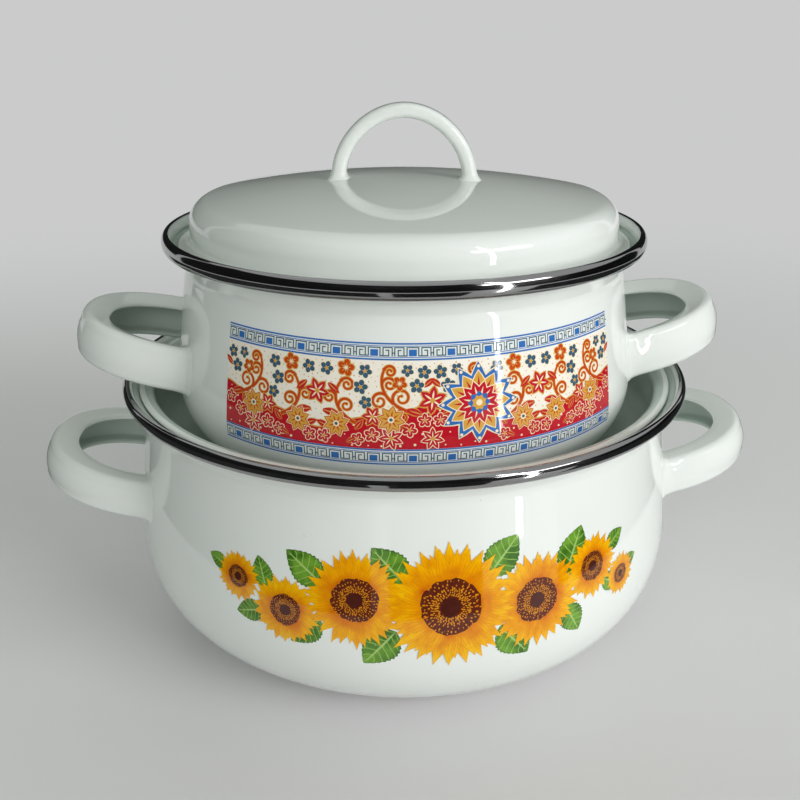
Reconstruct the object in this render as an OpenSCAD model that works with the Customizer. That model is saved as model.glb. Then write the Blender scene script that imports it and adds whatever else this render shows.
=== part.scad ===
// Nested set of two round enamelled casseroles with lids.
// The large lid lies upside down in the large pot, and the small pot stands in it.
// Z is up, the origin is the middle of the large pot's base, the handles lie along X.

/* [Large pot] */
// Outer radius of the large pot's rim band
large_rim_r = 106; // [90:0.5:130]
// Height of the large pot, base to top of rim
large_h = 98.8; // [84:0.1:120]
// How far the rim stands out past the neck under it
large_rim_out = 7.6; // [6.4:0.1:9]
// How far the belly stands out past the neck
large_belly_out = 4.7; // [2:0.1:8]
// Height of the belly, the widest place of the wall
large_belly_z = 40; // [30:0.5:46]
// How far the edge of the flat base lies inside the belly
large_base_in = 49.6; // [30:0.1:60]
// Height of the flare, from the neck up to the rim
large_flare_h = 6.6; // [5:0.1:8]
// Width of the ledge between the flare's end and the middle of the rolled edge
large_ledge_w = 0.6; // [0.4:0.1:1.6]
// Height of the handles above the base, at their feet
large_handle_z = 59.1; // [50:0.1:68]

/* [Small pot] */
// Height of the small pot, base to top of rim
small_h = 77; // [68:0.5:100]
// Air all round between the small pot's belly and the lid that it stands in
nest_gap = 9.1; // [4:0.1:14]
// How far the rim stands out past the neck under it
small_rim_out = 7.8; // [6.6:0.1:9]
// How far the belly stands out past the neck
small_belly_out = 5.6; // [2:0.1:8]
// Height of the belly above the small pot's own base
small_belly_z = 23.6; // [18:0.1:28]
// How far the edge of the flat base lies inside the belly
small_base_in = 23.6; // [16:0.1:44]
// Height of the flare, from the neck up to the rim
small_flare_h = 5.3; // [4.5:0.1:7]
// Width of the ledge between the flare's end and the middle of the rolled edge
small_ledge_w = 2.1; // [0.6:0.1:2.6]
// Height of the handles above the small pot's own base, at their feet
small_handle_z = 34.1; // [31:0.1:40]

/* [Sheet and rims] */
// Thickness of the enamelled sheet of the pots
wall_t = 1.4; // [1:0.1:2]
// Radius of the rolled edge under the rim band
roll_r = 1.6; // [1.2:0.1:2]
// Thickness of the stainless steel rim band
band_t = 0.4; // [0.3:0.05:0.6]
// Depth of the flare's end under the top of the rim
rim_depth = 3.9; // [3.6:0.1:4.6]

/* [Lids] */
// Thickness of the enamelled sheet of the lids
lid_t = 1.3; // [1:0.1:1.8]
// Play around a lid's flange inside the rim
lid_play = 2.2; // [1.8:0.1:2.6]
// Play between a lid's dome and the pot's neck, when the lid lies upside down
dome_play = 1; // [0.6:0.1:1.8]
// Radius between the flange and the side of the dome
flange_fillet_r = 2.2; // [1.6:0.1:3]
// Radius of the shoulder between side and crown
shoulder_r = 7.5; // [4:0.5:9]
// Height of the small lid over its flange's lower face
small_lid_h = 20.5; // [17:0.1:30]
// Rise of the small lid's crown
small_crown_h = 7.4; // [3:0.1:10]
// Height of the large lid over its flange's lower face
large_lid_h = 27.7; // [24:0.1:32]
// Rise of the large lid's crown
large_crown_h = 7.4; // [4:0.1:10]
// Turn of the small lid on its pot, seen from above
small_lid_turn = -8; // [-180:1:180]

/* [Strap handles] */
// How far a strap handle reaches out from its feet
strap_reach = 37.6; // [32:0.1:44]
// Width of the large pot's handle loops, outside
large_strap_w = 72; // [60:0.5:84]
// Width of the small pot's handle loops, outside
small_strap_w = 67.5; // [58:0.5:78]
// Height of the strap on the large pot
large_strap_h = 14.5; // [11:0.1:17]
// Height of the strap on the small pot
small_strap_h = 16.2; // [13:0.1:17]
// Slope of the upper flange down to its lip, on the large pot
large_lip_slope = 3; // [0:0.5:20]
// Slope of the upper flange down to its lip, on the small pot
small_lip_slope = 18; // [0:0.5:20]
// Depth of the channel's upper flange
strap_upper_d = 10.2; // [8:0.1:12]
// Depth of the channel's lower flange
strap_lower_d = 7.2; // [6:0.1:10]
// Thickness of the enamelled strap
strap_t = 1.7; // [1.3:0.1:2.2]
// Corner radius of the channel
strap_corner_r = 2.8; // [2.2:0.1:4]
// Crown of the channel's outer face
strap_crown = 0.8; // [0:0.1:1.5]
// Upward tilt of the handle loops
strap_tilt = 13.5; // [0:0.5:18]

/* [Bow handles] */
// Outer half width of a bow at its feet
bow_half_w = 26.4; // [22:0.1:32]
// Outer height of a bow over the lid
bow_h = 26.6; // [22:0.1:30]
// Thickness of a bow, seen from the front
bow_t = 5.4; // [4:0.1:6.5]
// Width of a bow, seen from the side
bow_w = 9; // [6:0.1:11]

/* [Hidden] */
$fn = 96;

enamel = "#eef2ec";
steel = "#b9bcc0";

// Fullness of the lower wall: 2 is an ellipse, more is squarer
large_curve = 2.39;
small_curve = 2.1;
// How soon the upper wall leaves the upright: 1 is a straight cone
upper_curve = 1.2;
// Fullness of a handle loop seen from above, and of a bow seen from the front
loop_curve = 2.2;
bow_curve = 1.92;
// Steps of a pot's lower wall, of its upper wall and of its flare
lower_steps = 26;
upper_steps = 10;
flare_steps = 8;
// Steps of a lid's fillet and of its shoulder, and steps of its crown
arc_steps = 8;
crown_steps = 10;
// Steps of a rim band round the rolled edge
band_steps = 24;
// Steps of a corner of the channel and of its outer face
corner_steps = 3;
face_steps = 4;
// Angle over which the flare runs, measured from the upright neck
flare_sweep = 80;
// Stations along a strap loop and along a bow, and points round a bow
strap_steps = 32;
bow_steps = 22;
bow_sides = 16;
// Fullness of a bow's section: 2 is an oval, more is squarer
bow_full = 3;

// Gap between the rolled edge and its band
band_gap = 0.05;
// Half the angle by which the band is open towards the inside of the pot
band_open = 78;
// Air between the small pot's base and the lid it stands in
seat_gap = 0.3;
// Air under the outermost edge of a lid's flange, where its seat slopes
edge_gap = 0.1;
// Air between a handle's feet and the wall, filled by enamel on the real pot
foot_gap = 0.1;
// How much a foot spreads at the wall, as a share of its section
foot_share = 0.12;
// Length between the wall and the place where a strap has its full section
foot_run = 1.2;

// Ring that a band leaves around the rolled edge, from the roll's centre
band_r = roll_r + band_gap + band_t;

// A pot from its rim downwards: base, belly, neck and rolled edge as [radius, height] above
// the pot's own base, the flare as [width, height], and the fullness of the lower wall
function pot_from(rim_r, h, rim_out, belly_out, belly_z, base_in, flare_h, ledge_w, curve) =
    let (neck_r = rim_r - rim_out, belly_r = neck_r + belly_out)
    [[belly_r - base_in, 0], [belly_r, belly_z], [neck_r, h - rim_depth - flare_h],
     [rim_r - band_r, h - band_r], [rim_out - band_r - ledge_w, flare_h], curve];

large = pot_from(large_rim_r, large_h, large_rim_out, large_belly_out, large_belly_z,
                 large_base_in, large_flare_h, large_ledge_w, large_curve);

// The small pot's belly goes into the large lid with air all round
small_rim_r = dome_r(large) - lid_t - nest_gap - small_belly_out + small_rim_out;
small = pot_from(small_rim_r, small_h, small_rim_out, small_belly_out, small_belly_z,
                 small_base_in, small_flare_h, small_ledge_w, small_curve);
function base_of(pot) = pot[0];
function belly_of(pot) = pot[1];
function neck_of(pot) = pot[2];
function roll_of(pot) = pot[3];
function flare_of(pot) = pot[4];
function curve_of(pot) = pot[5];

// A point on a circle
function on_circle(centre, radius, a) = centre + radius * [cos(a), sin(a)];

// Lower wall from the base to the belly, in steps that crowd near the base
function lower_wall(pot) = [
    for (i = [0 : lower_steps])
        let (a = 90 * i / lower_steps,
             out = pow(sin(a), 2 / curve_of(pot)),
             up = 1 - pow(cos(a), 2 / curve_of(pot)))
        [base_of(pot)[0] + (belly_of(pot)[0] - base_of(pot)[0]) * out, belly_of(pot)[1] * up]
];

// Radius of the outside of the wall above the belly
function upper_r(pot, z) =
    let (share = max(0, (z - belly_of(pot)[1]) / (neck_of(pot)[1] - belly_of(pot)[1])))
    belly_of(pot)[0] - (belly_of(pot)[0] - neck_of(pot)[0]) * pow(share, upper_curve);

function upper_wall(pot) = [
    for (i = [1 : upper_steps])
        let (z = belly_of(pot)[1] + (neck_of(pot)[1] - belly_of(pot)[1]) * i / upper_steps)
        [upper_r(pot, z), z]
];

// Flare from the neck outwards, a quarter of an ellipse about a point outside the neck
function flare_centre(pot) = neck_of(pot) + [flare_of(pot)[0], 0];
function flare(pot) = [
    for (i = [1 : flare_steps])
        let (a = flare_sweep * i / flare_steps)
        flare_centre(pot) + [-flare_of(pot)[0] * cos(a), flare_of(pot)[1] * sin(a)]
];

// Height of the lid's seat, inside the flare, at a radius
function seat_z(pot, radius) =
    let (across = max(0, flare_centre(pot)[0] - radius) / (flare_of(pot)[0] + wall_t))
    flare_centre(pot)[1] + (flare_of(pot)[1] + wall_t) * sqrt(1 - across * across);

// Unit normal to the left of a path at point i
function leftward(path, i) =
    let (ahead = path[min(i + 1, len(path) - 1)], behind = path[max(i - 1, 0)],
         run = ahead - behind)
    [-run[1], run[0]] / norm(run);

// The path moved sideways by a distance, left of its run
function beside(path, distance) = [
    for (i = [0 : len(path) - 1]) path[i] + distance * leftward(path, i)
];
function backwards(path) = [for (i = [len(path) - 1 : -1 : 0]) path[i]];

// Outside of a pot's sheet, from the middle of the base to the end of the flare
function pot_outside(pot) = concat([[0, 0]], lower_wall(pot), upper_wall(pot), flare(pot));

// Inside radius of the rim, where the rolled edge stands as a collar round the lid
function collar_r(pot) = roll_of(pot)[0] - roll_r;

// Inside of the sheet, up to the collar
function pot_inside(pot) =
    let (side = beside(pot_outside(pot), wall_t))
    concat([[0, wall_t]],
           [for (i = [1 : len(side) - 1]) if (side[i][0] < collar_r(pot)) side[i]],
           [[collar_r(pot), seat_z(pot, collar_r(pot))], [collar_r(pot), roll_of(pot)[1]]]);

// A pot's shell: one sheet that ends in a rolled edge
module pot_shell(pot)
    rotate_extrude()
        union() {
            polygon(concat(pot_outside(pot), [roll_of(pot)], backwards(pot_inside(pot))));
            translate(roll_of(pot)) circle(r = roll_r, $fn = 32);
        }

// Outline of the band round the rolled edge, open towards the inside of the pot
function band_outline(pot) =
    let (half = 180 - band_open)
    concat([for (i = [0 : band_steps])
                on_circle(roll_of(pot), band_r, 2 * half * i / band_steps - half)],
           [for (i = [band_steps : -1 : 0])
                on_circle(roll_of(pot), roll_r + band_gap, 2 * half * i / band_steps - half)]);

module rim_band(pot)
    rotate_extrude() polygon(band_outline(pot));

// A lid in its own frame: the flange's lower face is at zero, the dome rises above it.
// It is told by the pot it fits, its height and the rise of its crown.
function edge_r(pot) = collar_r(pot) - lid_play;
function flange_r(pot) = edge_r(pot) - lid_t / 2;
function dome_r(pot) = neck_of(pot)[0] - wall_t - dome_play;

// Crown of a lid: height of its outside at a radius
function crown_z(pot, height, rise, radius) = height - rise * pow(radius / dome_r(pot), 2);

// Slope of the crown where the shoulder takes over
function crown_slope(pot, rise) =
    atan(2 * rise * (dome_r(pot) - shoulder_r) / pow(dome_r(pot), 2));
function shoulder_centre(pot, height, rise) =
    let (slope = crown_slope(pot, rise), start = dome_r(pot) - shoulder_r * (1 - sin(slope)))
    [dome_r(pot) - shoulder_r, crown_z(pot, height, rise, start) - shoulder_r * cos(slope)];

// Outside of a lid, from its edge to the middle of the crown
function lid_outside(pot, height, rise) =
    let (slope = crown_slope(pot, rise), turn = 90 - slope,
         fillet = [dome_r(pot) + flange_fillet_r, lid_t + flange_fillet_r],
         shoulder = shoulder_centre(pot, height, rise),
         start = dome_r(pot) - shoulder_r * (1 - sin(slope)))
    concat([[flange_r(pot), lid_t]],
           [for (i = [0 : arc_steps]) on_circle(fillet, flange_fillet_r, 270 - 90 * i / arc_steps)],
           [for (i = [0 : arc_steps]) on_circle(shoulder, shoulder_r, turn * i / arc_steps)],
           [for (i = [1 : crown_steps])
                let (radius = start * (1 - i / crown_steps))
                [radius, crown_z(pot, height, rise, radius)]]);

function lid_inside(pot, height, rise) =
    let (outside = lid_outside(pot, height, rise), side = beside(outside, lid_t))
    concat([for (i = [1 : len(side) - 2]) side[i]], [[0, height - lid_t]]);

// A lid's shell: flange with a rounded edge, side, shoulder and crown in one sheet
module lid_shell(pot, height, rise)
    rotate_extrude()
        union() {
            polygon(concat(lid_outside(pot, height, rise),
                           backwards(lid_inside(pot, height, rise)), [[flange_r(pot), 0]]));
            translate([flange_r(pot), lid_t / 2]) circle(r = lid_t / 2, $fn = 24);
        }

// Faces of a tube of rings, each the same even number of points, closed at both ends.
// An end is a ladder of rungs between a ring's first half and its second.
function end_faces(from, points) = [
    for (k = [0 : points / 2 - 2])
        let (back = points - 1 - k)
        each [[from + k, from + k + 1, from + back - 1], [from + k, from + back - 1, from + back]]
];
function side_faces(rings, points) = [
    for (i = [0 : rings - 2]) for (k = [0 : points - 1])
        let (next = (k + 1) % points, here = i * points, there = (i + 1) * points)
        each [[here + k, there + k, there + next], [here + k, there + next, here + next]]
];
module tube(rings) {
    points = len(rings[0]);
    far_end = [for (face = end_faces((len(rings) - 1) * points, points)) backwards(face)];
    polyhedron(points = [for (ring = rings) each ring],
               faces = concat(end_faces(0, points), side_faces(len(rings), points), far_end));
}

// A strap is told by the width of its loop, the height of its feet on the pot, the height of
// its section and the slope of its upper flange
large_strap = [large_strap_w, large_handle_z, large_strap_h, large_lip_slope];
small_strap = [small_strap_w, small_handle_z, small_strap_h, small_lip_slope];
function width_of(strap) = strap[0];
function feet_z(strap) = strap[1];
function height_of(strap) = strap[2];
function slope_of(strap) = strap[3];

// Outer line of the channel section: [outwards, up], from the upper lip to the lower one
function channel_face(strap) =
    let (half = height_of(strap) / 2, flat = half - strap_corner_r,
         back = -strap_crown - strap_corner_r, turn = 90 + slope_of(strap),
         bend = on_circle([back, flat], strap_corner_r, turn),
         fall = (bend[0] + strap_upper_d) * tan(slope_of(strap)))
    concat([[-strap_upper_d, bend[1] - fall]],
           [for (i = [0 : corner_steps])
                on_circle([back, flat], strap_corner_r, turn * (1 - i / corner_steps))],
           [for (i = [1 : face_steps - 1])
                let (share = 1 - 2 * i / face_steps)
                [-strap_crown * share * share, flat * share]],
           [for (i = [0 : corner_steps])
                on_circle([back, -flat], strap_corner_r, -90 * i / corner_steps)],
           [[-strap_lower_d, -half]]);

// Closed channel section of the pressed strap
function channel(strap) =
    let (face = channel_face(strap))
    concat(face, backwards(beside(face, -strap_t)));

// Outer line of a loop seen from above, as [out, across] from its feet
function loop_point(width, a) = [
    strap_reach / cos(strap_tilt) * pow(abs(cos(a)), 2 / loop_curve),
    width / 2 * sign(a) * pow(abs(sin(a)), 2 / loop_curve)
];

// Direction of a line of points, from angle to angle, at one station
function loop_run(width, a) =
    loop_point(width, min(90, a + 1)) - loop_point(width, max(-90, a - 1));

// Stations of a loop from foot to foot: [place, outward direction]
function loop_stations(width) = [
    for (i = [0 : strap_steps])
        let (a = 180 * i / strap_steps - 90, run = loop_run(width, a) / norm(loop_run(width, a)))
        [loop_point(width, a), [run[1], -run[0]]]
];

// One ring of the strap in the loop's own frame, spread by a share about its middle
function strap_ring(strap, station, spread) = [
    for (p = channel(strap))
        let (middle = strap_upper_d / 2, out = (p[0] + middle) * (1 + spread) - middle,
             flat = station[0] + station[1] * out)
        [flat[0], flat[1], p[1] * (1 + spread)]
];

// From the loop's frame to the pot's: tilted upwards about its feet and moved out
function tilted(p, root_r, z) = [
    root_r + p[0] * cos(strap_tilt) - p[2] * sin(strap_tilt),
    p[1],
    z + p[0] * sin(strap_tilt) + p[2] * cos(strap_tilt)
];

// A foot's point carried along the strap, a few times, until it meets the wall
function run_in(pot, p, tries) =
    tries == 0 ? p :
    let (reach = upper_r(pot, p[2]) + foot_gap,
         move = (p[0] - sqrt(reach * reach - p[1] * p[1])) / cos(strap_tilt))
    run_in(pot, p - move * [cos(strap_tilt), 0, sin(strap_tilt)], tries - 1);

// Distance from the pot's axis to a strap's feet, clear of the wall over the whole section
function root_of(pot, strap) =
    let (wall = upper_r(pot, feet_z(strap) - height_of(strap) / 2),
         inner = width_of(strap) / 2 - strap_upper_d)
    sqrt(wall * wall - inner * inner) + foot_run;

// A pressed strap handle on the +X side of a pot
module strap_handle(pot, strap) {
    stations = loop_stations(width_of(strap));
    ends = [stations[0], stations[strap_steps]];
    root_r = root_of(pot, strap);
    z = feet_z(strap);
    rings = [for (s = stations) [for (p = strap_ring(strap, s, 0)) tilted(p, root_r, z)]];
    feet = [for (s = ends)
               [for (p = strap_ring(strap, s, foot_share))
                   run_in(pot, tilted(p, root_r, z), 3)]];
    tube(concat([feet[0]], rings, [feet[1]]));
}

// Section of a bow, a rectangle with round corners
function bow_share(v) = sign(v) * pow(abs(v), 2 / bow_full);
bow_ring = [
    for (k = [0 : bow_sides - 1])
        let (a = 360 * k / bow_sides)
        [bow_t / 2 * bow_share(cos(a)), bow_w / 2 * bow_share(sin(a))]
];

// Centre line of a bow, as [across, up] over its feet
function bow_point(a) = [
    (bow_half_w - bow_t / 2) * sign(a) * pow(abs(sin(a)), 2 / bow_curve),
    (bow_h - bow_t / 2) * pow(abs(cos(a)), 2 / bow_curve)
];

// A bow handle over a lid, its feet on the crown
module bow_handle(pot, height, rise) {
    foot_x = bow_half_w - bow_t / 2;
    foot_z = crown_z(pot, height, rise, foot_x);
    rings = [for (i = [0 : bow_steps])
        let (a = 180 * i / bow_steps - 90, centre = bow_point(a),
             run = bow_point(min(90, a + 1)) - bow_point(max(-90, a - 1)),
             along = run / norm(run))
        [for (p = bow_ring)
            let (x = centre[0] - along[1] * p[0], z = foot_z + centre[1] + along[0] * p[0])
            [x, p[1], max(z, crown_z(pot, height, rise, norm([x, p[1]])) + foot_gap)]]];
    tube(rings);
}

// Height of the inside of a lid's crown and shoulder at a radius
function lid_inner_z(pot, height, rise, radius) =
    let (shoulder = shoulder_centre(pot, height, rise), out = max(0, radius - shoulder[0]),
         inner = shoulder_r - lid_t)
    out == 0 ? crown_z(pot, height, rise, radius) - lid_t
             : shoulder[1] + sqrt(max(0, inner * inner - out * out));

// Places of the loose pieces at rest
large_lid_z = seat_z(large, edge_r(large)) + edge_gap + lid_t;
small_pot_z = large_lid_z + seat_gap - min([
    for (p = lower_wall(small))
        p[1] + lid_inner_z(large, large_lid_h, large_crown_h, p[0])
]);
small_lid_z = small_pot_z + seat_z(small, edge_r(small)) + edge_gap;

module large_pot_body() { color(enamel) pot_shell(large); }
module large_pot_rim_band() { color(steel) rim_band(large); }
module large_pot_handle_right() { color(enamel) strap_handle(large, large_strap); }
module large_pot_handle_left() {
    color(enamel) rotate([0, 0, 180]) strap_handle(large, large_strap);
}

module large_lid_shell() {
    color(enamel) translate([0, 0, large_lid_z]) rotate([180, 0, 0])
        lid_shell(large, large_lid_h, large_crown_h);
}
module large_lid_handle() {
    color(enamel) translate([0, 0, large_lid_z]) rotate([180, 0, 0])
        bow_handle(large, large_lid_h, large_crown_h);
}

module small_pot_body() { color(enamel) translate([0, 0, small_pot_z]) pot_shell(small); }
module small_pot_rim_band() { color(steel) translate([0, 0, small_pot_z]) rim_band(small); }
module small_pot_handle_right() {
    color(enamel) translate([0, 0, small_pot_z]) strap_handle(small, small_strap);
}
module small_pot_handle_left() {
    color(enamel) translate([0, 0, small_pot_z]) rotate([0, 0, 180])
        strap_handle(small, small_strap);
}

module small_lid_shell() {
    color(enamel) translate([0, 0, small_lid_z]) lid_shell(small, small_lid_h, small_crown_h);
}
module small_lid_handle() {
    color(enamel) translate([0, 0, small_lid_z]) rotate([0, 0, small_lid_turn])
        bow_handle(small, small_lid_h, small_crown_h);
}

large_pot_body();
large_pot_rim_band();
large_pot_handle_left();
large_pot_handle_right();
large_lid_shell();
large_lid_handle();
small_pot_body();
small_pot_rim_band();
small_pot_handle_left();
small_pot_handle_right();
small_lid_shell();
small_lid_handle();
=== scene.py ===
"""Looks of a nested set of two enamelled casseroles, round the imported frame.

The large pot holds its own lid upside down, and the small pot with its lid stands in that.
Shapes are worked out in millimetres and made in metres, in the part's own frame: Z is up,
the handles lie along X and the printed fronts look towards -Y.
"""

import math
import random

import bmesh
import bpy
from mathutils import Matrix, Vector


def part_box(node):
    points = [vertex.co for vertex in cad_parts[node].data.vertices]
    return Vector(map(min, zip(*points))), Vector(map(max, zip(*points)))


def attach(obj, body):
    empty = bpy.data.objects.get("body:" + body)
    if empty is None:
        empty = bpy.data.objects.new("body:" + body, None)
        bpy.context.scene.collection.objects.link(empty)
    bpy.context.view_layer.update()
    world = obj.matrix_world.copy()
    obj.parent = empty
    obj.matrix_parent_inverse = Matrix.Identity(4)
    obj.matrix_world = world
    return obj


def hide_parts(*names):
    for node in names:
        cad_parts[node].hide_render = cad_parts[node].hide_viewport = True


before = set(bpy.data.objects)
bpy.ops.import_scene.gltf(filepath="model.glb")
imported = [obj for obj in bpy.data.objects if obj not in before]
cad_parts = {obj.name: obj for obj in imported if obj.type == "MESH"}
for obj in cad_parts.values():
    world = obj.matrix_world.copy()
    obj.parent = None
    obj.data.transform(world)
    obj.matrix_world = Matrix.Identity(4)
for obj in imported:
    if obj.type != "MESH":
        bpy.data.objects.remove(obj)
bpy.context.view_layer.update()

MM = 0.001
SEGMENTS = 192          # steps round a turned piece
SAME_TURNED = 0.002     # points of a turned sheet nearer than this are one
SAME_FLAT = 0.0005      # and so are those of a flat print

# The pressed sheet, in millimetres and degrees. All but FLARE_STRAIGHT and the collar's two are
# as in the part's source
WALL_T = 1.4
LID_T = 1.3
ROLL_R = 1.6            # a pot's rolled edge
BAND_R = 2.05           # the steel band round it
BAND_T = 0.4
BAND_OPEN = 78          # half of the gap between the band's lips
UPPER_CURVE = 1.2       # how the belly draws in to the neck: 1 is a straight cone
FLARE_SWEEP = 80
FLARE_STRAIGHT = 0.7    # how far the flare's outside is drawn from an oval to a cone
LID_PLAY = 2.2          # between a lid's edge and the collar
DOME_PLAY = 1           # between a lid's dome and the neck
FILLET_R = 2.2          # between the flange and the dome's side
SHOULDER_R = 7.5        # between the dome's side and its crown
COLLAR_TOP = 0.8        # the collar's top, under the middle of the rolled edge
COLLAR_FOOT = 0.4       # the collar's foot, over the seat

# Strap handles
STRAP_REACH = 37.6
STRAP_UPPER = 10.2      # depth of the upper flange
STRAP_LOWER = 7.2
STRAP_T = 1.7
STRAP_CORNER = 2.8
STRAP_CROWN = 0.8
STRAP_TILT = 13.5
STRAP_STEPS = 72
LOOP_CURVE = 2.2        # 2 is a true oval, more is squarer
FOOT_RUN = 1.2          # between the wall and the loop
FOOT_FLARE = 1.3        # how far the enamel widens a foot
FOOT_SUNK = 0.5         # how deep a foot goes into the wall's enamel
FOOT_SHARES = (0.12, 0.3, 0.5, 0.7, 0.86, 1.0)

# Bow handles
BOW_HALF = 26.4
BOW_H = 26.6
BOW_T = 5.4
BOW_W = 9
BOW_CURVE = 1.92
BOW_FULL = 3
BOW_STEPS = 64
BOW_SIDES = 28
BOW_FLARE = 1.9         # how far the enamel widens a foot
BOW_FLARE_H = 3.2       # and how high over the crown it starts
BOW_SUNK = 0.2
SMALL_LID_TURN = -8


def cos(degrees):
    return math.cos(math.radians(degrees))


def sin(degrees):
    return math.sin(math.radians(degrees))


def on_circle(centre, radius, degrees):
    return (centre[0] + radius * cos(degrees), centre[1] + radius * sin(degrees))


def swelled(value, full):
    """A sine or cosine bent so that the circle it draws swells towards a square."""
    return math.copysign(abs(value) ** (2 / full), value)


def shares(steps):
    """Even shares from 0 to 1."""
    return [i / steps for i in range(steps + 1)]


def chain(points):
    """Edges that join points one after another."""
    return [(i, i + 1) for i in range(len(points) - 1)]


def direction(start, end):
    """Unit vector from one point to another."""
    size = math.dist(start, end) or 1.0
    return ((end[0] - start[0]) / size, (end[1] - start[1]) / size)


def run_at(path, i):
    """Direction of a path at its point i."""
    return direction(path[max(i - 1, 0)], path[min(i + 1, len(path) - 1)])


def beside(path, distance):
    """The path moved sideways by a distance, left of its run."""
    side = []
    for i, (x, y) in enumerate(path):
        run = run_at(path, i)
        side.append((x - run[1] * distance, y + run[0] * distance))
    return side


def lifted(height):
    return Matrix.Translation((0, 0, height * MM))


def turned_about(axis, degrees):
    return Matrix.Rotation(math.radians(degrees), 4, axis)


class Pot:
    """One pot with its lid, in millimetres above the pot's own base. bottom is its height at
    rest, rim_depth the depth of the flare's end under the rim, and rim_half and rim_middle are
    half the height of the rim's upright oval and the depth of its middle. strap holds the
    strap handles' sizes. lid_h is the lid's height and crown_h its crown's, and lid_place
    carries the lid from its own frame to its rest."""

    def __init__(self, name, bottom, rim_r, height, rim_out, belly_out, belly_z, base_in,
                 rim_depth, flare_h, ledge, full, rim_half, rim_middle, strap, lid_h, crown_h,
                 lid_place):
        self.name = name
        self.bottom = bottom
        self.neck_r = rim_r - rim_out
        self.neck_z = height - rim_depth - flare_h
        self.belly_r = self.neck_r + belly_out
        self.belly_z = belly_z
        self.base_r = self.belly_r - base_in
        self.flare_w = rim_out - BAND_R - ledge
        self.flare_h = flare_h
        self.roll = (rim_r - BAND_R, height - rim_middle)
        self.tall = rim_half - BAND_R
        self.full = full
        self.collar_r = self.roll[0] - ROLL_R
        self.edge_r = self.collar_r - LID_PLAY
        self.dome_r = self.neck_r - WALL_T - DOME_PLAY
        self.strap = strap
        self.lid_h = lid_h
        self.crown_h = crown_h
        self.lid_place = lid_place

    def upper_r(self, z):
        share = max(0.0, (z - self.belly_z) / (self.neck_z - self.belly_z))
        return self.belly_r - (self.belly_r - self.neck_r) * share ** UPPER_CURVE

    def wall(self):
        """Outside of the wall, from the edge of the flat base to the neck."""
        path = []
        for t in shares(40):
            out, up = swelled(sin(90 * t), self.full), 1 - swelled(cos(90 * t), self.full)
            path.append((self.base_r + (self.belly_r - self.base_r) * out, self.belly_z * up))
        for t in shares(18)[1:]:
            z = self.belly_z + (self.neck_z - self.belly_z) * t
            path.append((self.upper_r(z), z))
        return path

    def flare(self, straight=0.0):
        """The flare above the neck: a quarter of an oval, drawn towards a cone by a share."""
        path = []
        for t in shares(14)[1:]:
            a = FLARE_SWEEP * t
            cone = (1 - cos(FLARE_SWEEP)) * sin(a) / sin(FLARE_SWEEP)
            out = 1 - cos(a) + straight * (cone - 1 + cos(a))
            path.append((self.neck_r + self.flare_w * out, self.neck_z + self.flare_h * sin(a)))
        return path

    def seat_z(self, radius):
        across = max(0.0, self.neck_r + self.flare_w - radius) / (self.flare_w + WALL_T)
        return self.neck_z + (self.flare_h + WALL_T) * math.sqrt(1 - across * across)

    def on_rim(self, radius, degrees):
        """A point of the rim's upright oval, whose half width is a radius."""
        return (self.roll[0] + radius * cos(degrees),
                self.roll[1] + (radius + self.tall) * sin(degrees))

    def sheet(self):
        """Closed profile, from the middle of the base outside to its middle inside. With it,
        as with the next two, goes 1 for each point on the inside and 0 for each other."""
        middle = [(self.base_r * i / 6, 0) for i in range(6)]
        outside = middle + self.wall() + self.flare(FLARE_STRAIGHT)
        last = outside[-1]
        start = math.degrees(math.atan2((last[1] - self.roll[1]) / (ROLL_R + self.tall),
                                        (last[0] - self.roll[0]) / ROLL_R)) + 360
        outside += [self.on_rim(ROLL_R, start + (540 - start) * t) for t in shares(24)]
        pressed = middle + self.wall() + self.flare()
        side = [p for p in beside(pressed, WALL_T)[1:] if p[0] < self.collar_r]
        collar = [(self.collar_r, self.roll[1] - COLLAR_TOP),
                  (self.collar_r, self.seat_z(self.collar_r) + COLLAR_FOOT)]
        inside = collar + side[::-1] + [(0, WALL_T)]
        return outside + inside, [0.0] * len(outside) + [1.0] * len(inside)

    def band(self):
        """Closed profile of the steel band round the rolled edge, its two lips rounded."""
        half, middle_r = 180 - BAND_OPEN, BAND_R - BAND_T / 2
        outer = [self.on_rim(BAND_R, half * (2 * t - 1)) for t in shares(48)]
        inner = [self.on_rim(BAND_R - BAND_T, half * (1 - 2 * t)) for t in shares(48)]
        lips = [[on_circle(self.on_rim(middle_r, turn), BAND_T / 2, turn + away + 30 * k)
                 for k in range(1, 6)] for turn, away in ((half, 0), (-half, 180))]
        path = outer + lips[0] + inner + lips[1]
        path.append(path[0])
        return path, [0.0] * len(path)

    def crown_z(self, radius):
        return self.lid_h - self.crown_h * (radius / self.dome_r) ** 2

    def lid(self):
        """Closed profile of the lid in its own frame, from its middle inside to outside."""
        shoulder_x = self.dome_r - SHOULDER_R
        slope = math.degrees(math.atan(2 * self.crown_h * shoulder_x / self.dome_r ** 2))
        start = self.dome_r - SHOULDER_R * (1 - sin(slope))
        shoulder = (shoulder_x, self.crown_z(start) - SHOULDER_R * cos(slope))
        fillet = (self.dome_r + FILLET_R, LID_T + FILLET_R)
        flange = self.edge_r - LID_T / 2
        outside = [(flange, LID_T)]
        outside += [on_circle(fillet, FILLET_R, 270 - 90 * t) for t in shares(12)]
        outside += [on_circle(shoulder, SHOULDER_R, (90 - slope) * t) for t in shares(16)]
        outside += [(start * (1 - t), self.crown_z(start * (1 - t))) for t in shares(24)[1:]]
        inside = [(0, self.lid_h - LID_T)] + beside(outside, LID_T)[-2:0:-1]
        edge = [on_circle((flange, LID_T / 2), LID_T / 2, 180 * t - 90) for t in shares(10)]
        outside = edge + outside[1:]
        return inside + outside, [1.0] * len(inside) + [0.0] * len(outside)


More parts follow.
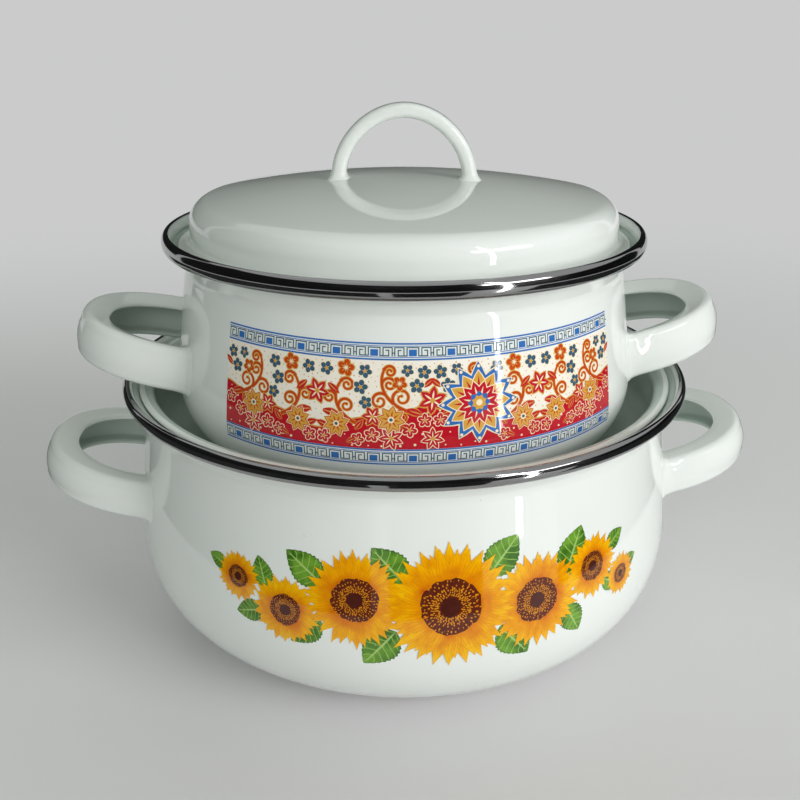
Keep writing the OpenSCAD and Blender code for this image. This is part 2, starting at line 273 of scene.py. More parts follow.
# Both rims are taller than in the solids. The small pot's neck is also lower, and its lid sits
# deeper by SEAT_DROP
SEAT_DROP = 1.8
large = Pot(name="large", bottom=0, rim_r=106, height=98.8, rim_out=7.6, belly_out=4.7,
            belly_z=40, base_in=49.6, rim_depth=3.9, flare_h=6.6, ledge=0.6, full=2.39,
            rim_half=2.4, rim_middle=2.4,
            strap={"width": 72, "feet_z": 59.1, "height": 14.5, "slope": 3},
            lid_h=27.7, crown_h=7.4,
            lid_place=lifted(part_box("large_lid_shell")[1].z / MM) @ turned_about("X", 180))
small = Pot(name="small", bottom=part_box("small_pot_body")[0].z / MM, rim_r=87.8, height=77,
            rim_out=7.8, belly_out=5.6, belly_z=23.6, base_in=23.6, rim_depth=5.7,
            flare_h=5.7, ledge=2.1, full=2.1, rim_half=3.0, rim_middle=2.05,
            strap={"width": 67.5, "feet_z": 34.1, "height": 16.2, "slope": 18},
            lid_h=20.5 + SEAT_DROP, crown_h=7.4,
            lid_place=lifted(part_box("small_lid_shell")[0].z / MM - SEAT_DROP))


# Nodes

def feed(tree, node, inputs):
    """Fills a node's inputs, given by name or in their order. Each is a value, or a socket or a
    node to link from. A node stands for the first output that it has in use."""
    for key, value in inputs.items() if isinstance(inputs, dict) else enumerate(inputs):
        if isinstance(value, bpy.types.Node):
            value = next(socket for socket in value.outputs if socket.enabled)
        if isinstance(value, bpy.types.NodeSocket):
            tree.links.new(value, node.inputs[key])
        else:
            node.inputs[key].default_value = value


def add(tree, kind, inputs=(), **settings):
    """Adds one node with its settings and its inputs."""
    node = tree.nodes.new(kind)
    for name, value in settings.items():
        setattr(node, name, value)
    feed(tree, node, inputs)
    return node


def new_tree(name, sizes):
    """A Geometry Nodes tree with named inputs, given as {name: kind of socket}."""
    tree = bpy.data.node_groups.new(name, "GeometryNodeTree")
    tree.interface.new_socket("Geometry", in_out="INPUT", socket_type="NodeSocketGeometry")
    for label, kind in sizes.items():
        tree.interface.new_socket(label, in_out="INPUT", socket_type="NodeSocket" + kind)
    tree.interface.new_socket("Geometry", in_out="OUTPUT", socket_type="NodeSocketGeometry")
    return tree, add(tree, "NodeGroupInput").outputs


def end_tree(tree, geometry, material):
    """Ends a tree in Realize Instances and Set Material."""
    real = add(tree, "GeometryNodeRealizeInstances", {"Geometry": geometry})
    done = add(tree, "GeometryNodeSetMaterial", {"Geometry": real, "Material": material})
    add(tree, "NodeGroupOutput", {"Geometry": done})
    return tree


def put(name, data):
    """An object in the scene, of a mesh, lamp or camera."""
    made = bpy.data.objects.new(name, data)
    bpy.context.scene.collection.objects.link(made)
    return made


def grown(name, mesh, tree, **values):
    """Runs a tree on a mesh and returns the plain mesh that it makes."""
    source = put(name, mesh)
    modifier = source.modifiers.new(tree.name, "NODES")
    modifier.node_group = tree
    for item in tree.interface.items_tree:
        if item.in_out == "INPUT" and item.name in values:
            modifier[item.identifier] = values[item.name]
    graph = bpy.context.evaluated_depsgraph_get()
    result = bpy.data.meshes.new_from_object(source.evaluated_get(graph), depsgraph=graph)
    result.name = name
    bpy.data.objects.remove(source)
    return result


def mesh_of(name, points, edges=(), faces=(), **attributes):
    """A mesh of points given in millimetres, with one value per point in each attribute."""
    mesh = bpy.data.meshes.new(name)
    mesh.from_pydata([Vector(p) * MM for p in points], edges, faces)
    for label, values in attributes.items():
        mesh.attributes.new(label, "FLOAT", "POINT").data.foreach_set("value", values)
    return mesh


def reshape(mesh, change):
    """Changes a mesh by a function of its bmesh."""
    work = bmesh.new()
    work.from_mesh(mesh)
    change(work)
    work.to_mesh(mesh)
    work.free()


def piece(name, mesh, body, slot, stands_for=(), sharp=50):
    """A finished piece from a mesh: smooth but for its sharp edges, on a body of the frame."""
    mesh.shade_smooth()
    mesh.set_sharp_from_angle(angle=math.radians(sharp))
    made = put(name, mesh)
    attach(made, body)
    if stands_for:
        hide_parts(*stands_for)


# Materials

def colour(code):
    """Linear colour of an sRGB hex code."""
    parts = [int(code[i:i + 2], 16) / 255 for i in (1, 3, 5)]
    return [c / 12.92 if c <= 0.04045 else ((c + 0.055) / 1.055) ** 2.4 for c in parts] + [1]


def new_material(name, **finish):
    """A material with one Principled shader, whose even values are set on its own sockets."""
    material = bpy.data.materials.new(name)
    material.use_nodes = True
    shader = material.node_tree.nodes["Principled BSDF"]
    for label, value in finish.items():
        shader.inputs[label.replace("_", " ")].default_value = value
    return material, material.node_tree, shader


def vitreous_enamel(name, thick, thin, dull):
    """Glass frit fused to pressed steel: a hard, clear gloss over an opaque white, with the faint
    waves of a fired coat, a little colder where it lies thin, and the odd fine speck."""
    material, tree, shader = new_material(name, IOR=1.52, Specular_IOR_Level=0.55)
    place = add(tree, "ShaderNodeTexCoord").outputs["Object"]
    cloud = add(tree, "ShaderNodeTexNoise", {"Vector": place, "Scale": 28.0, "Detail": 3.0})
    coat = add(tree, "ShaderNodeMix", {"Factor": cloud, "A": colour(thick), "B": colour(thin)},
               data_type="RGBA")
    speck = add(tree, "ShaderNodeTexVoronoi", {"Vector": place, "Scale": 85.0})
    dark = add(tree, "ShaderNodeMapRange", {"Value": speck, "From Min": 0.012, "From Max": 0.03,
                                            "To Min": 0.82, "To Max": 1.0})
    specked = add(tree, "ShaderNodeMix", {"Factor": 1.0, "A": coat, "B": dark},
                  data_type="RGBA", blend_type="MULTIPLY")
    rough = add(tree, "ShaderNodeMapRange", {"Value": cloud, "To Min": dull * 0.7,
                                             "To Max": dull * 1.4})
    waves = add(tree, "ShaderNodeTexNoise", {"Vector": place, "Scale": 70.0, "Detail": 1.5})
    bump = add(tree, "ShaderNodeBump", {"Height": waves, "Strength": 0.5, "Distance": 0.02 * MM})
    feed(tree, shader, {"Base Color": specked, "Roughness": rough, "Normal": bump})
    return material


def polished_steel(name, base, worn):
    """Polished stainless strip: a dark mirror with faint polishing lines along the rim."""
    material, tree, shader = new_material(name, Metallic=1.0)
    place = add(tree, "ShaderNodeTexCoord").outputs["Object"]
    lines = add(tree, "ShaderNodeMapping", {"Vector": place, "Scale": (12.0, 12.0, 2600.0)})
    grain = add(tree, "ShaderNodeTexNoise", {"Vector": lines, "Scale": 1.0, "Detail": 4.0})
    tone = add(tree, "ShaderNodeMix", {"Factor": grain, "A": colour(base), "B": colour(worn)},
               data_type="RGBA")
    rough = add(tree, "ShaderNodeMapRange", {"Value": grain, "To Min": 0.05, "To Max": 0.12})
    feed(tree, shader, {"Base Color": tone, "Roughness": rough})
    return material


white_enamel = vitreous_enamel("white_vitreous_enamel", "#E8ECE8", "#E1E7E2", 0.04)
# Insides of pots and lids and the handles' channels: a grey-green darker than the white, painted
# shade for the hollows that light hardly reaches.
inner_painted_shade_enamel = vitreous_enamel("grey_green_inner_enamel", "#BFCCC3", "#B4C1B8", 0.08)
steel = polished_steel("polished_stainless_steel", "#98999A", "#A9A9A8")
ENAMELS = (white_enamel, inner_painted_shade_enamel)


# Turned sheets: pots, lids and rim bands

def turned_tree():
    """Turns a profile, a chain of points at y = 0, round the Z axis into a closed sheet."""
    tree, given = new_tree("turned_sheet", {"Steps": "Int", "Outside": "Material",
                                            "Inside": "Material"})
    profile, steps = given["Geometry"], given["Steps"]
    count = add(tree, "GeometryNodeAttributeDomainSize",
                {"Geometry": profile}).outputs["Point Count"]
    columns = add(tree, "ShaderNodeMath", (steps, 1.0), operation="ADD")
    grid = add(tree, "GeometryNodeMeshGrid", {"Vertices X": columns, "Vertices Y": count})
    index = add(tree, "GeometryNodeInputIndex")
    row = add(tree, "ShaderNodeMath", (index, count), operation="MODULO")
    share = add(tree, "ShaderNodeMath", (index, count), operation="DIVIDE")
    column = add(tree, "ShaderNodeMath", (share,), operation="FLOOR")
    turn = add(tree, "ShaderNodeMath", (column, steps), operation="DIVIDE")
    angle = add(tree, "ShaderNodeMath", (turn, math.tau), operation="MULTIPLY")
    spot = add(tree, "GeometryNodeInputPosition")
    point = add(tree, "GeometryNodeSampleIndex", {"Geometry": profile, "Value": spot,
                                                  "Index": row}, data_type="FLOAT_VECTOR")
    inner = add(tree, "GeometryNodeInputNamedAttribute", {"Name": "inner"})
    inner_here = add(tree, "GeometryNodeSampleIndex", {"Geometry": profile, "Value": inner,
                                                       "Index": row})
    turned_to = add(tree, "ShaderNodeVectorRotate", {"Vector": point, "Angle": angle},
                    rotation_type="Z_AXIS")
    marked = add(tree, "GeometryNodeStoreNamedAttribute", {"Geometry": grid, "Name": "inner",
                                                           "Value": inner_here})
    placed = add(tree, "GeometryNodeSetPosition", {"Geometry": marked, "Position": turned_to})
    closed = add(tree, "GeometryNodeMergeByDistance", {"Geometry": placed,
                                                       "Distance": SAME_TURNED * MM})
    real = add(tree, "GeometryNodeRealizeInstances", {"Geometry": closed})
    skin = add(tree, "GeometryNodeSetMaterial", {"Geometry": real,
                                                 "Material": given["Outside"]})
    within = add(tree, "ShaderNodeMath", (inner, 0.5), operation="GREATER_THAN")
    lined = add(tree, "GeometryNodeSetMaterial", {"Geometry": skin, "Selection": within,
                                                  "Material": given["Inside"]})
    add(tree, "NodeGroupOutput", {"Geometry": lined})
    return tree


TURNED = turned_tree()


def turned(name, profile, inner, skins, place, body, slot, solid):
    """A finished piece turned from a profile, whose inner points are marked with 1."""
    points = [(r, 0, z) for r, z in profile]
    mesh = grown(name, mesh_of(name, points, chain(points), inner=inner), TURNED,
                 Steps=SEGMENTS, Outside=skins[0], Inside=skins[1])
    mesh.transform(place)
    piece(name, mesh, body, slot, [solid])


for pot in (large, small):
    rest, body = lifted(pot.bottom), f"{pot.name}_pot"
    turned(f"{body}_enamelled_shell", *pot.sheet(), ENAMELS, rest, body, "enamel_pot",
           f"{body}_body")
    turned(f"{body}_steel_band", *pot.band(), (steel, steel), rest, body, "stainless_rim",
           f"{body}_rim_band")
for pot in (large, small):
    body = f"{pot.name}_lid"
    turned(f"{body}_enamelled_shell", *pot.lid(), ENAMELS, pot.lid_place, body, "enamel_lid",
           f"{body}_shell")


# Handles: a pressed channel strap and a round bow, each one tube of rings

def tube(name, rings, materials, hollow=()):
    """A tube of rings of points, closed at both ends. hollow holds the sides that are inside."""
    count = len(rings[0])
    points = [p for ring in rings for p in ring]
    faces, marks = [], []
    for i in range(len(rings) - 1):
        for k in range(count):
            after = (k + 1) % count
            faces.append((i * count + k, (i + 1) * count + k, (i + 1) * count + after,
                          i * count + after))
            marks.append(int(k in hollow))
    last = (len(rings) - 1) * count
    for k in range(count // 2 - 1):
        back = count - 1 - k
        faces.append((k, k + 1, back - 1, back))
        faces.append((last + back, last + back - 1, last + k + 1, last + k))
        marks += [0, 0]
    mesh = mesh_of(name, points, (), faces)
    for material in materials:
        mesh.materials.append(material)
    mesh.polygons.foreach_set("material_index", marks)
    reshape(mesh, lambda work: bmesh.ops.recalc_face_normals(work, faces=work.faces))
    return mesh


def stations(loop, steps):
    """Points of a loop from -90 to 90 degrees, each with the loop's direction there."""
    angles = [180 * i / steps - 90 for i in range(steps + 1)]
    return [(loop(a), direction(loop(max(-90, a - 0.5)), loop(min(90, a + 0.5))))
            for a in angles]


def strap_section(height, slope, spread=0.0):
    """Closed section of the strap as (out, up): its outer face, then its inside, lips rounded.
    With it goes the range of its sides that are inside. spread widens it all round, for the
    enamel that runs out on the wall at the feet."""
    half, flat = height / 2, height / 2 - STRAP_CORNER
    back, turn = -STRAP_CROWN - STRAP_CORNER, 90 + slope
    bend = on_circle((back, flat), STRAP_CORNER, turn)
    upper_z = bend[1] - (bend[0] + STRAP_UPPER) * math.tan(math.radians(slope))
    face = [(-STRAP_UPPER, upper_z), ((bend[0] - STRAP_UPPER) / 2, (bend[1] + upper_z) / 2)]
    face += [on_circle((back, flat), STRAP_CORNER, turn * (1 - t)) for t in shares(8)]
    face += [(-STRAP_CROWN * (1 - i / 5) ** 2, flat * (1 - i / 5)) for i in range(1, 10)]
    face += [on_circle((back, -flat), STRAP_CORNER, -90 * t) for t in shares(8)]
    face += [((back - STRAP_LOWER) / 2, -half), (-STRAP_LOWER, -half)]
    middle, thick = beside(face, -STRAP_T / 2), STRAP_T / 2 + spread
    outer, inside = beside(middle, thick), beside(middle, -thick)
    lips = [[on_circle(end, thick, first - 45 * k) for k in (1, 2, 3)]
            for end, first in ((middle[-1], 270), (middle[0], 270 + slope))]
    ring = outer + lips[0] + inside[::-1] + lips[1]
    return ring, range(len(outer), len(ring) - len(lips[1]))


def strap_handle(name, pot, width, feet_z, height, slope):
    """Pressed channel strap on the +X side, its feet flared on to the wall by fused enamel."""
    wall = pot.upper_r(feet_z - height / 2)
    inner = width / 2 - STRAP_UPPER
    root = math.sqrt(wall * wall - inner * inner) + FOOT_RUN
    reach = STRAP_REACH / cos(STRAP_TILT)

    def loop(a):
        return reach * swelled(cos(a), LOOP_CURVE), width / 2 * swelled(sin(a), LOOP_CURVE)

    def tilted(out, across, up):
        return Vector((root + out * cos(STRAP_TILT) - up * sin(STRAP_TILT), across,
                       pot.bottom + feet_z + out * sin(STRAP_TILT) + up * cos(STRAP_TILT)))

    def ring_at(place, run, spread=0.0):
        return [tilted(place[0] + run[1] * out, place[1] - run[0] * out, up)
                for out, up in strap_section(height, slope, spread)[0]]

    def onto_wall(p, depth):
        """Carries a point along the strap until it is so deep in the wall."""
        p = p.copy()
        for _ in range(4):
            radius = pot.upper_r(p.z - pot.bottom) - depth
            move = (p.x - math.sqrt(max(radius * radius - p.y * p.y, 1.0))) / cos(STRAP_TILT)
            p -= Vector((cos(STRAP_TILT), 0, sin(STRAP_TILT))) * move
        return p

    along = stations(loop, STRAP_STEPS)
    rings = [ring_at(*station) for station in along]
    # At a foot the section widens in a quarter round as it nears the wall
    for end in (0, -1):
        plain = ring_at(*along[end])
        near = [onto_wall(p, 0) for p in plain]
        foot = []
        for share in FOOT_SHARES:
            widened = ring_at(*along[end], FOOT_FLARE * (1 - math.sqrt(1 - share * share)))
            foot.append([w + (n - p) * share for w, n, p in zip(widened, near, plain)])
        foot.append([onto_wall(p, FOOT_SUNK) for p in foot[-1]])
        rings = foot[::-1] + rings if end == 0 else rings + foot
    return tube(name, rings, ENAMELS, strap_section(height, slope)[1])


for pot in (large, small):
    for side, turn in (("right", 0), ("left", 180)):
        mesh = strap_handle(f"{pot.name}_pot_{side}_strap", pot, **pot.strap)
        mesh.transform(turned_about("Z", turn))
        piece(mesh.name, mesh, f"{pot.name}_pot", "enamel_pot",
              [f"{pot.name}_pot_handle_{side}"], 60)


def bow_handle(name, pot):
    """Bow of oval rod over a lid, its feet flared on to the crown by fused enamel."""
    foot_x, top_z = BOW_HALF - BOW_T / 2, BOW_H - BOW_T / 2

    def loop(a):
        return foot_x * swelled(sin(a), BOW_CURVE), top_z * swelled(cos(a), BOW_CURVE)

    rings = []
    for i, ((x, z), run) in enumerate(stations(loop, BOW_STEPS)):
        near = max(0.0, 1 - z / BOW_FLARE_H)
        flare = BOW_FLARE * (1 - math.sqrt(1 - near * near))
        ring = []
        for turn in (360 / BOW_SIDES * k for k in range(BOW_SIDES)):
            out = (BOW_T / 2 + flare) * swelled(cos(turn), BOW_FULL)
            side = (BOW_W / 2 + flare) * swelled(sin(turn), BOW_FULL)
            here = x - run[1] * out
            lowest = pot.crown_z(math.hypot(here, side)) - BOW_SUNK
            height = pot.crown_z(foot_x) + z + run[0] * out
            ring.append((here, side, lowest if i in (0, BOW_STEPS) else max(height, lowest)))
        rings.append(ring)
    return tube(name, rings, [white_enamel])


for pot, turn in ((large, 0), (small, SMALL_LID_TURN)):
    mesh = bow_handle(f"{pot.name}_lid_bow", pot)
    mesh.transform(pot.lid_place @ turned_about("Z", turn))
    piece(mesh.name, mesh, f"{pot.name}_lid", "enamel_lid", [f"{pot.name}_lid_handle"], 60)


# Prints: colours fired on the wall. Each is laid out flat, x along the wall and y up it, and
# then wrapped. A motif's height above the sheet, its layer, is under 0.3 mm.

def ring_tree():
    """Sets copies of a petal round a circle, pointing outwards, a little uneven in length."""
    tree, given = new_tree("petals_in_a_ring", {"Count": "Int", "Radius": "Float",
                                                "Scatter": "Float", "Turn": "Float",
                                                "Seed": "Int", "Material": "Material"})
    count, scatter = given["Count"], given["Scatter"]
    index = add(tree, "GeometryNodeInputIndex")
    share = add(tree, "ShaderNodeMath", (index, count), operation="DIVIDE")
    wobble = add(tree, "FunctionNodeRandomValue", {"Min": -0.5, "Max": 0.5,
                                                   "Seed": given["Seed"]}, data_type="FLOAT")
    uneven = add(tree, "ShaderNodeMath", (wobble, scatter), operation="MULTIPLY")
    angle = add(tree, "ShaderNodeMath", (share, math.tau, given["Turn"]),
                operation="MULTIPLY_ADD")
    angle = add(tree, "ShaderNodeMath", (angle, uneven), operation="ADD")
    across = add(tree, "ShaderNodeMath", (angle,), operation="SINE")
    away = add(tree, "ShaderNodeMath", (across, -1.0), operation="MULTIPLY")
    up = add(tree, "ShaderNodeMath", (angle,), operation="COSINE")
    spot = add(tree, "ShaderNodeCombineXYZ", {"X": away, "Y": up})
    spot = add(tree, "ShaderNodeVectorMath", {0: spot, "Scale": given["Radius"]},
               operation="SCALE")
    points = add(tree, "GeometryNodePoints", {"Count": count, "Position": spot})
    reach = add(tree, "FunctionNodeRandomValue", {"Min": -1.0, "Max": 0.0,
                                                  "Seed": given["Seed"]}, data_type="FLOAT")
    length = add(tree, "ShaderNodeMath", (reach, scatter, 1.0), operation="MULTIPLY_ADD")
    size = add(tree, "ShaderNodeCombineXYZ", {"X": 1.0, "Y": length, "Z": 1.0})
    euler = add(tree, "ShaderNodeCombineXYZ", {"Z": angle})
    rotation = add(tree, "FunctionNodeEulerToRotation", {"Euler": euler})
    petals = add(tree, "GeometryNodeInstanceOnPoints",
                 {"Points": points, "Instance": given["Geometry"], "Rotation": rotation,
                  "Scale": size})
    return end_tree(tree, petals, given["Material"])


def places_tree():
    """Sets a flat motif at given places, each with its own size and turn."""
    tree, given = new_tree("motif_in_places", {"Motif": "Object", "Material": "Material"})
    motif = add(tree, "GeometryNodeObjectInfo", {"Object": given["Motif"]}).outputs["Geometry"]
    size = add(tree, "GeometryNodeInputNamedAttribute", {"Name": "size"})
    turn = add(tree, "GeometryNodeInputNamedAttribute", {"Name": "turn"})
    scale = add(tree, "ShaderNodeCombineXYZ", {"X": size, "Y": size, "Z": 1.0})
    euler = add(tree, "ShaderNodeCombineXYZ", {"Z": turn})
    rotation = add(tree, "FunctionNodeEulerToRotation", {"Euler": euler})
    copies = add(tree, "GeometryNodeInstanceOnPoints",
                 {"Points": given["Geometry"], "Instance": motif, "Rotation": rotation,
                  "Scale": scale})
    return end_tree(tree, copies, given["Material"])


def row_tree():
    """Repeats a unit along X at an even pitch."""
    tree, given = new_tree("units_in_a_row", {"Count": "Int", "Pitch": "Float",
                                              "Material": "Material"})
    step = add(tree, "ShaderNodeCombineXYZ", {"X": given["Pitch"]})
    line = add(tree, "GeometryNodeMeshLine", {"Count": given["Count"], "Offset": step})
    units = add(tree, "GeometryNodeInstanceOnPoints", {"Points": line,
                                                       "Instance": given["Geometry"]})
    return end_tree(tree, units, given["Material"])


def sprinkle_tree():
    """Sprinkles a motif over a flat sheet, never closer than a gap, pointing away from the
    origin by a share of Radial."""
    tree, given = new_tree("motif_sprinkled", {"Motif": "Object", "Gap": "Float",
                                               "Density": "Float", "Least": "Float",
                                               "Radial": "Float", "Seed": "Int",
                                               "Material": "Material"})
    motif = add(tree, "GeometryNodeObjectInfo", {"Object": given["Motif"]}).outputs["Geometry"]
    points = add(tree, "GeometryNodeDistributePointsOnFaces",
                 {"Mesh": given["Geometry"], "Distance Min": given["Gap"],
                  "Density Max": given["Density"], "Seed": given["Seed"]},
                 distribute_method="POISSON")
    size = add(tree, "FunctionNodeRandomValue", {"Min": given["Least"], "Max": 1.0,
                                                 "Seed": given["Seed"]}, data_type="FLOAT")
    scale = add(tree, "ShaderNodeCombineXYZ", {"X": size, "Y": size, "Z": 1.0})
    here = add(tree, "GeometryNodeInputPosition")
    spot = add(tree, "ShaderNodeSeparateXYZ", {"Vector": here}).outputs
    left = add(tree, "ShaderNodeMath", (spot["X"], -1.0), operation="MULTIPLY")
    away = add(tree, "ShaderNodeMath", (left, spot["Y"]), operation="ARCTAN2")
    turn = add(tree, "ShaderNodeMath", (away, given["Radial"]), operation="MULTIPLY")
    euler = add(tree, "ShaderNodeCombineXYZ", {"Z": turn})
    rotation = add(tree, "FunctionNodeEulerToRotation", {"Euler": euler})
    copies = add(tree, "GeometryNodeInstanceOnPoints",
                 {"Points": points, "Instance": motif, "Rotation": rotation, "Scale": scale})
    return end_tree(tree, copies, given["Material"])


def wrap_tree():
    """Wraps a flat print round a turned wall, whose profile is another object's chain of points.
    x becomes the angle from -Y, y the length up the profile, z the lift off the wall."""
    tree, given = new_tree("print_on_wall", {"Wall": "Object", "Round": "Float",
                                             "Start": "Float", "Lift": "Float",
                                             "Material": "Material"})
    here = add(tree, "GeometryNodeInputPosition")
    flat = add(tree, "ShaderNodeSeparateXYZ", {"Vector": here}).outputs
    wall = add(tree, "GeometryNodeObjectInfo", {"Object": given["Wall"]}).outputs["Geometry"]
    curve = add(tree, "GeometryNodeMeshToCurve", {"Mesh": wall})
    reach = add(tree, "ShaderNodeMath", (flat["Y"], given["Start"]), operation="ADD")
    sample = add(tree, "GeometryNodeSampleCurve", {"Curves": curve, "Length": reach},
                 mode="LENGTH", use_all_curves=True).outputs
    spot = add(tree, "ShaderNodeSeparateXYZ", {"Vector": sample["Position"]}).outputs
    run = add(tree, "ShaderNodeSeparateXYZ", {"Vector": sample["Tangent"]}).outputs
    lift = add(tree, "ShaderNodeMath", (flat["Z"], given["Lift"]), operation="ADD")
    radius = add(tree, "ShaderNodeMath", (run["Z"], lift, spot["X"]), operation="MULTIPLY_ADD")
    drop = add(tree, "ShaderNodeMath", (run["X"], lift), operation="MULTIPLY")
    height = add(tree, "ShaderNodeMath", (spot["Z"], drop), operation="SUBTRACT")
    angle = add(tree, "ShaderNodeMath", (flat["X"], given["Round"]), operation="DIVIDE")
    front = add(tree, "ShaderNodeMath", (radius, -1.0), operation="MULTIPLY")
    point = add(tree, "ShaderNodeCombineXYZ", {"Y": front, "Z": height})
    turned_to = add(tree, "ShaderNodeVectorRotate", {"Vector": point, "Angle": angle},
                    rotation_type="Z_AXIS")
    placed = add(tree, "GeometryNodeSetPosition", {"Geometry": given["Geometry"],
                                                   "Position": turned_to})
    return end_tree(tree, placed, given["Material"])


RING, PLACES, ROW, SPRINKLE, WRAP = (ring_tree(), places_tree(), row_tree(), sprinkle_tree(),
                                     wrap_tree())

PRINT_T = 0.008        # thickness of a fired colour
FIRST_LAYER = 0.045    # height of the lowest colour over the wall, clear of its facets
HUB = 0.001            # radius of the hole in a disc's middle, too small to be seen


def flat_grid(name, rows):
    """A flat sheet from rows of points, each row left to right, the rows one above another."""
    width = len(rows[0])
    points = [p if len(p) == 3 else (p[0], p[1], 0) for row in rows for p in row]
    faces = [(i * width + j, i * width + j + 1, (i + 1) * width + j + 1, (i + 1) * width + j)
             for i in range(len(rows) - 1) for j in range(width - 1)]
    along = [i / (len(rows) - 1) for i in range(len(rows)) for _ in range(width)]
    across = [2 * j / (width - 1) - 1 for _ in rows for j in range(width)]
    return mesh_of(name, points, (), faces, along=along, across=across)


def blade(name, length, widths, lean=0.0, halves=2):
    """A petal or leaf along Y, from its half widths at even steps, each half width in as many
    strips as halves. lean lifts its left edge, so that neighbours in a ring overlap like
    shingles."""
    rows = []
    for i, half in enumerate(widths):
        y = length * i / (len(widths) - 1)
        rows.append([(half * k / halves, y, -lean * k / halves)
                     for k in range(-halves, halves + 1)])
    return flat_grid(name, rows)


def ribbon(name, path, widths, layer):
    """A flat ribbon along a path, as wide at each point as its entry in widths."""
    left, right = [], []
    for i, (x, y) in enumerate(path):
        run, half = run_at(path, i), widths[i] / 2
        left.append((x - run[1] * half, y + run[0] * half, layer))
        right.append((x + run[1] * half, y - run[0] * half, layer))
    return flat_grid(name, [[a, b] for a, b in zip(left, right)])


def disc(name, radius, rough, rings, steps):
    """A round flat patch, its edge uneven by a share."""
    draw = random.Random(11)
    edge = [1 + rough * draw.uniform(-1, 1) for _ in range(steps)]
    rows = [[(radius * r / rings * edge[k % steps] * cos(360 * k / steps),
              radius * r / rings * edge[k % steps] * sin(360 * k / steps))
             for k in range(steps + 1)] for r in range(rings, 0, -1)]
    rows.append([(HUB * cos(360 * k / steps), HUB * sin(360 * k / steps))
                 for k in range(steps + 1)])
    return flat_grid(name, rows)


def in_ring(name, petal, count, radius, scatter, turn, seed=3):
    return grown(name, petal, RING, Count=count, Radius=radius * MM, Scatter=scatter,
                 Turn=math.radians(turn), Seed=seed)


def spread(name, mesh, tree, motif, **values):
    """Runs a tree that sets copies of a motif on a mesh."""
    holder = put(name, motif)
    made = grown(name, mesh, tree, Motif=holder, **values)
    bpy.data.objects.remove(holder)
    return made


def in_places(name, motif, places):
    """Copies of a motif at places, each (x, y, layer, size, turn)."""
    spots = mesh_of(name, [p[:3] for p in places], size=[float(p[3]) for p in places],
                    turn=[math.radians(p[4]) for p in places])
    return spread(name, spots, PLACES, motif)


def sprinkled(name, region, motif, gap, density, least, radial=0.0, seed=5):
    """Copies of a motif on a flat region, gap in millimetres, density per square millimetre."""
    return spread(name, region, SPRINKLE, motif, Gap=gap * MM, Density=density / MM ** 2,
                  Least=least, Radial=radial, Seed=seed)


def joined(name, meshes):
    work = bmesh.new()
    for mesh in meshes:
        work.from_mesh(mesh)
    bmesh.ops.remove_doubles(work, verts=work.verts, dist=SAME_FLAT * MM)
    result = bpy.data.meshes.new(name)
    work.to_mesh(result)
    work.free()
    return result


def moved(mesh, x, y, layer=0.0, turn=0.0):
    made = mesh.copy()
    made.transform(Matrix.Translation((x * MM, y * MM, layer * MM)) @ turned_about("Z", turn))
    return made


def wall_length(pot, z):
    """Length along the outside of the wall, from the edge of the base up to a height."""
    total, path = 0.0, pot.wall()
    for (r0, z0), (r1, z1) in zip(path, path[1:]):
        if z1 >= z:
            return total + math.hypot(r1 - r0, z1 - z0) * (z - z0) / (z1 - z0)
        total += math.hypot(r1 - r0, z1 - z0)
    return total


def fire(pot, round_r, foot_z, coats):
    """Wraps flat meshes on a pot's wall, as one printed piece for each (label, meshes,
    material). The meshes' y is measured up the wall from foot_z."""
    line = [(r, 0, z + pot.bottom) for r, z in pot.wall()]
    wall = put("wall_line", mesh_of("wall_line", line, chain(line)))
    for label, flats, material in coats:
        name = f"{pot.name}_print_{label}"
        mesh = grown(name, joined(name, flats), WRAP, Wall=wall, Round=round_r * MM,
                     Start=wall_length(pot, foot_z) * MM, Lift=FIRST_LAYER * MM,
                     Material=material)
        reshape(mesh, lambda work: bmesh.ops.solidify(work, geom=work.faces[:],
                                                      thickness=PRINT_T * MM))
        piece(name, mesh, f"{pot.name}_pot", "enamel_pot")
    bpy.data.objects.remove(wall)


# The large pot's garland: sunflowers and leaves

GLAZE = {"IOR": 1.5, "Roughness": 0.06}     # the gloss of a colour fired into the enamel


def fired_colour(name, base, other, scale=600.0):
    """A ceramic colour fused into the glaze: glossy, with the fine grain of its pigment, which
    is drawn about a millimetre coarse so that it shows."""
    material, tree, shader = new_material(name, **GLAZE)
    place = add(tree, "ShaderNodeTexCoord").outputs["Object"]
    grain = add(tree, "ShaderNodeTexNoise", {"Vector": place, "Scale": scale, "Detail": 2.0})
    tone = add(tree, "ShaderNodeMix", {"Factor": grain, "A": colour(base), "B": colour(other)},
               data_type="RGBA")
    feed(tree, shader, {"Base Color": tone})
    return material


def mixed_by(tree, value, low, high, first, second):
    """first where a value is under low, second where it is over high."""
    share = add(tree, "ShaderNodeMapRange", {"Value": value, "From Min": low, "From Max": high})
    return add(tree, "ShaderNodeMix", {"Factor": share, "A": first, "B": second},
               data_type="RGBA")


def blade_material(name):
    """A fired material, and how far a point of it is along and across its petal or leaf."""
    material, tree, shader = new_material(name, **GLAZE)
    along, across = [add(tree, "ShaderNodeAttribute", attribute_name=label).outputs["Fac"]
                     for label in ("along", "across")]
    place = add(tree, "ShaderNodeTexCoord").outputs["Object"]
    return material, tree, shader, along, across, place


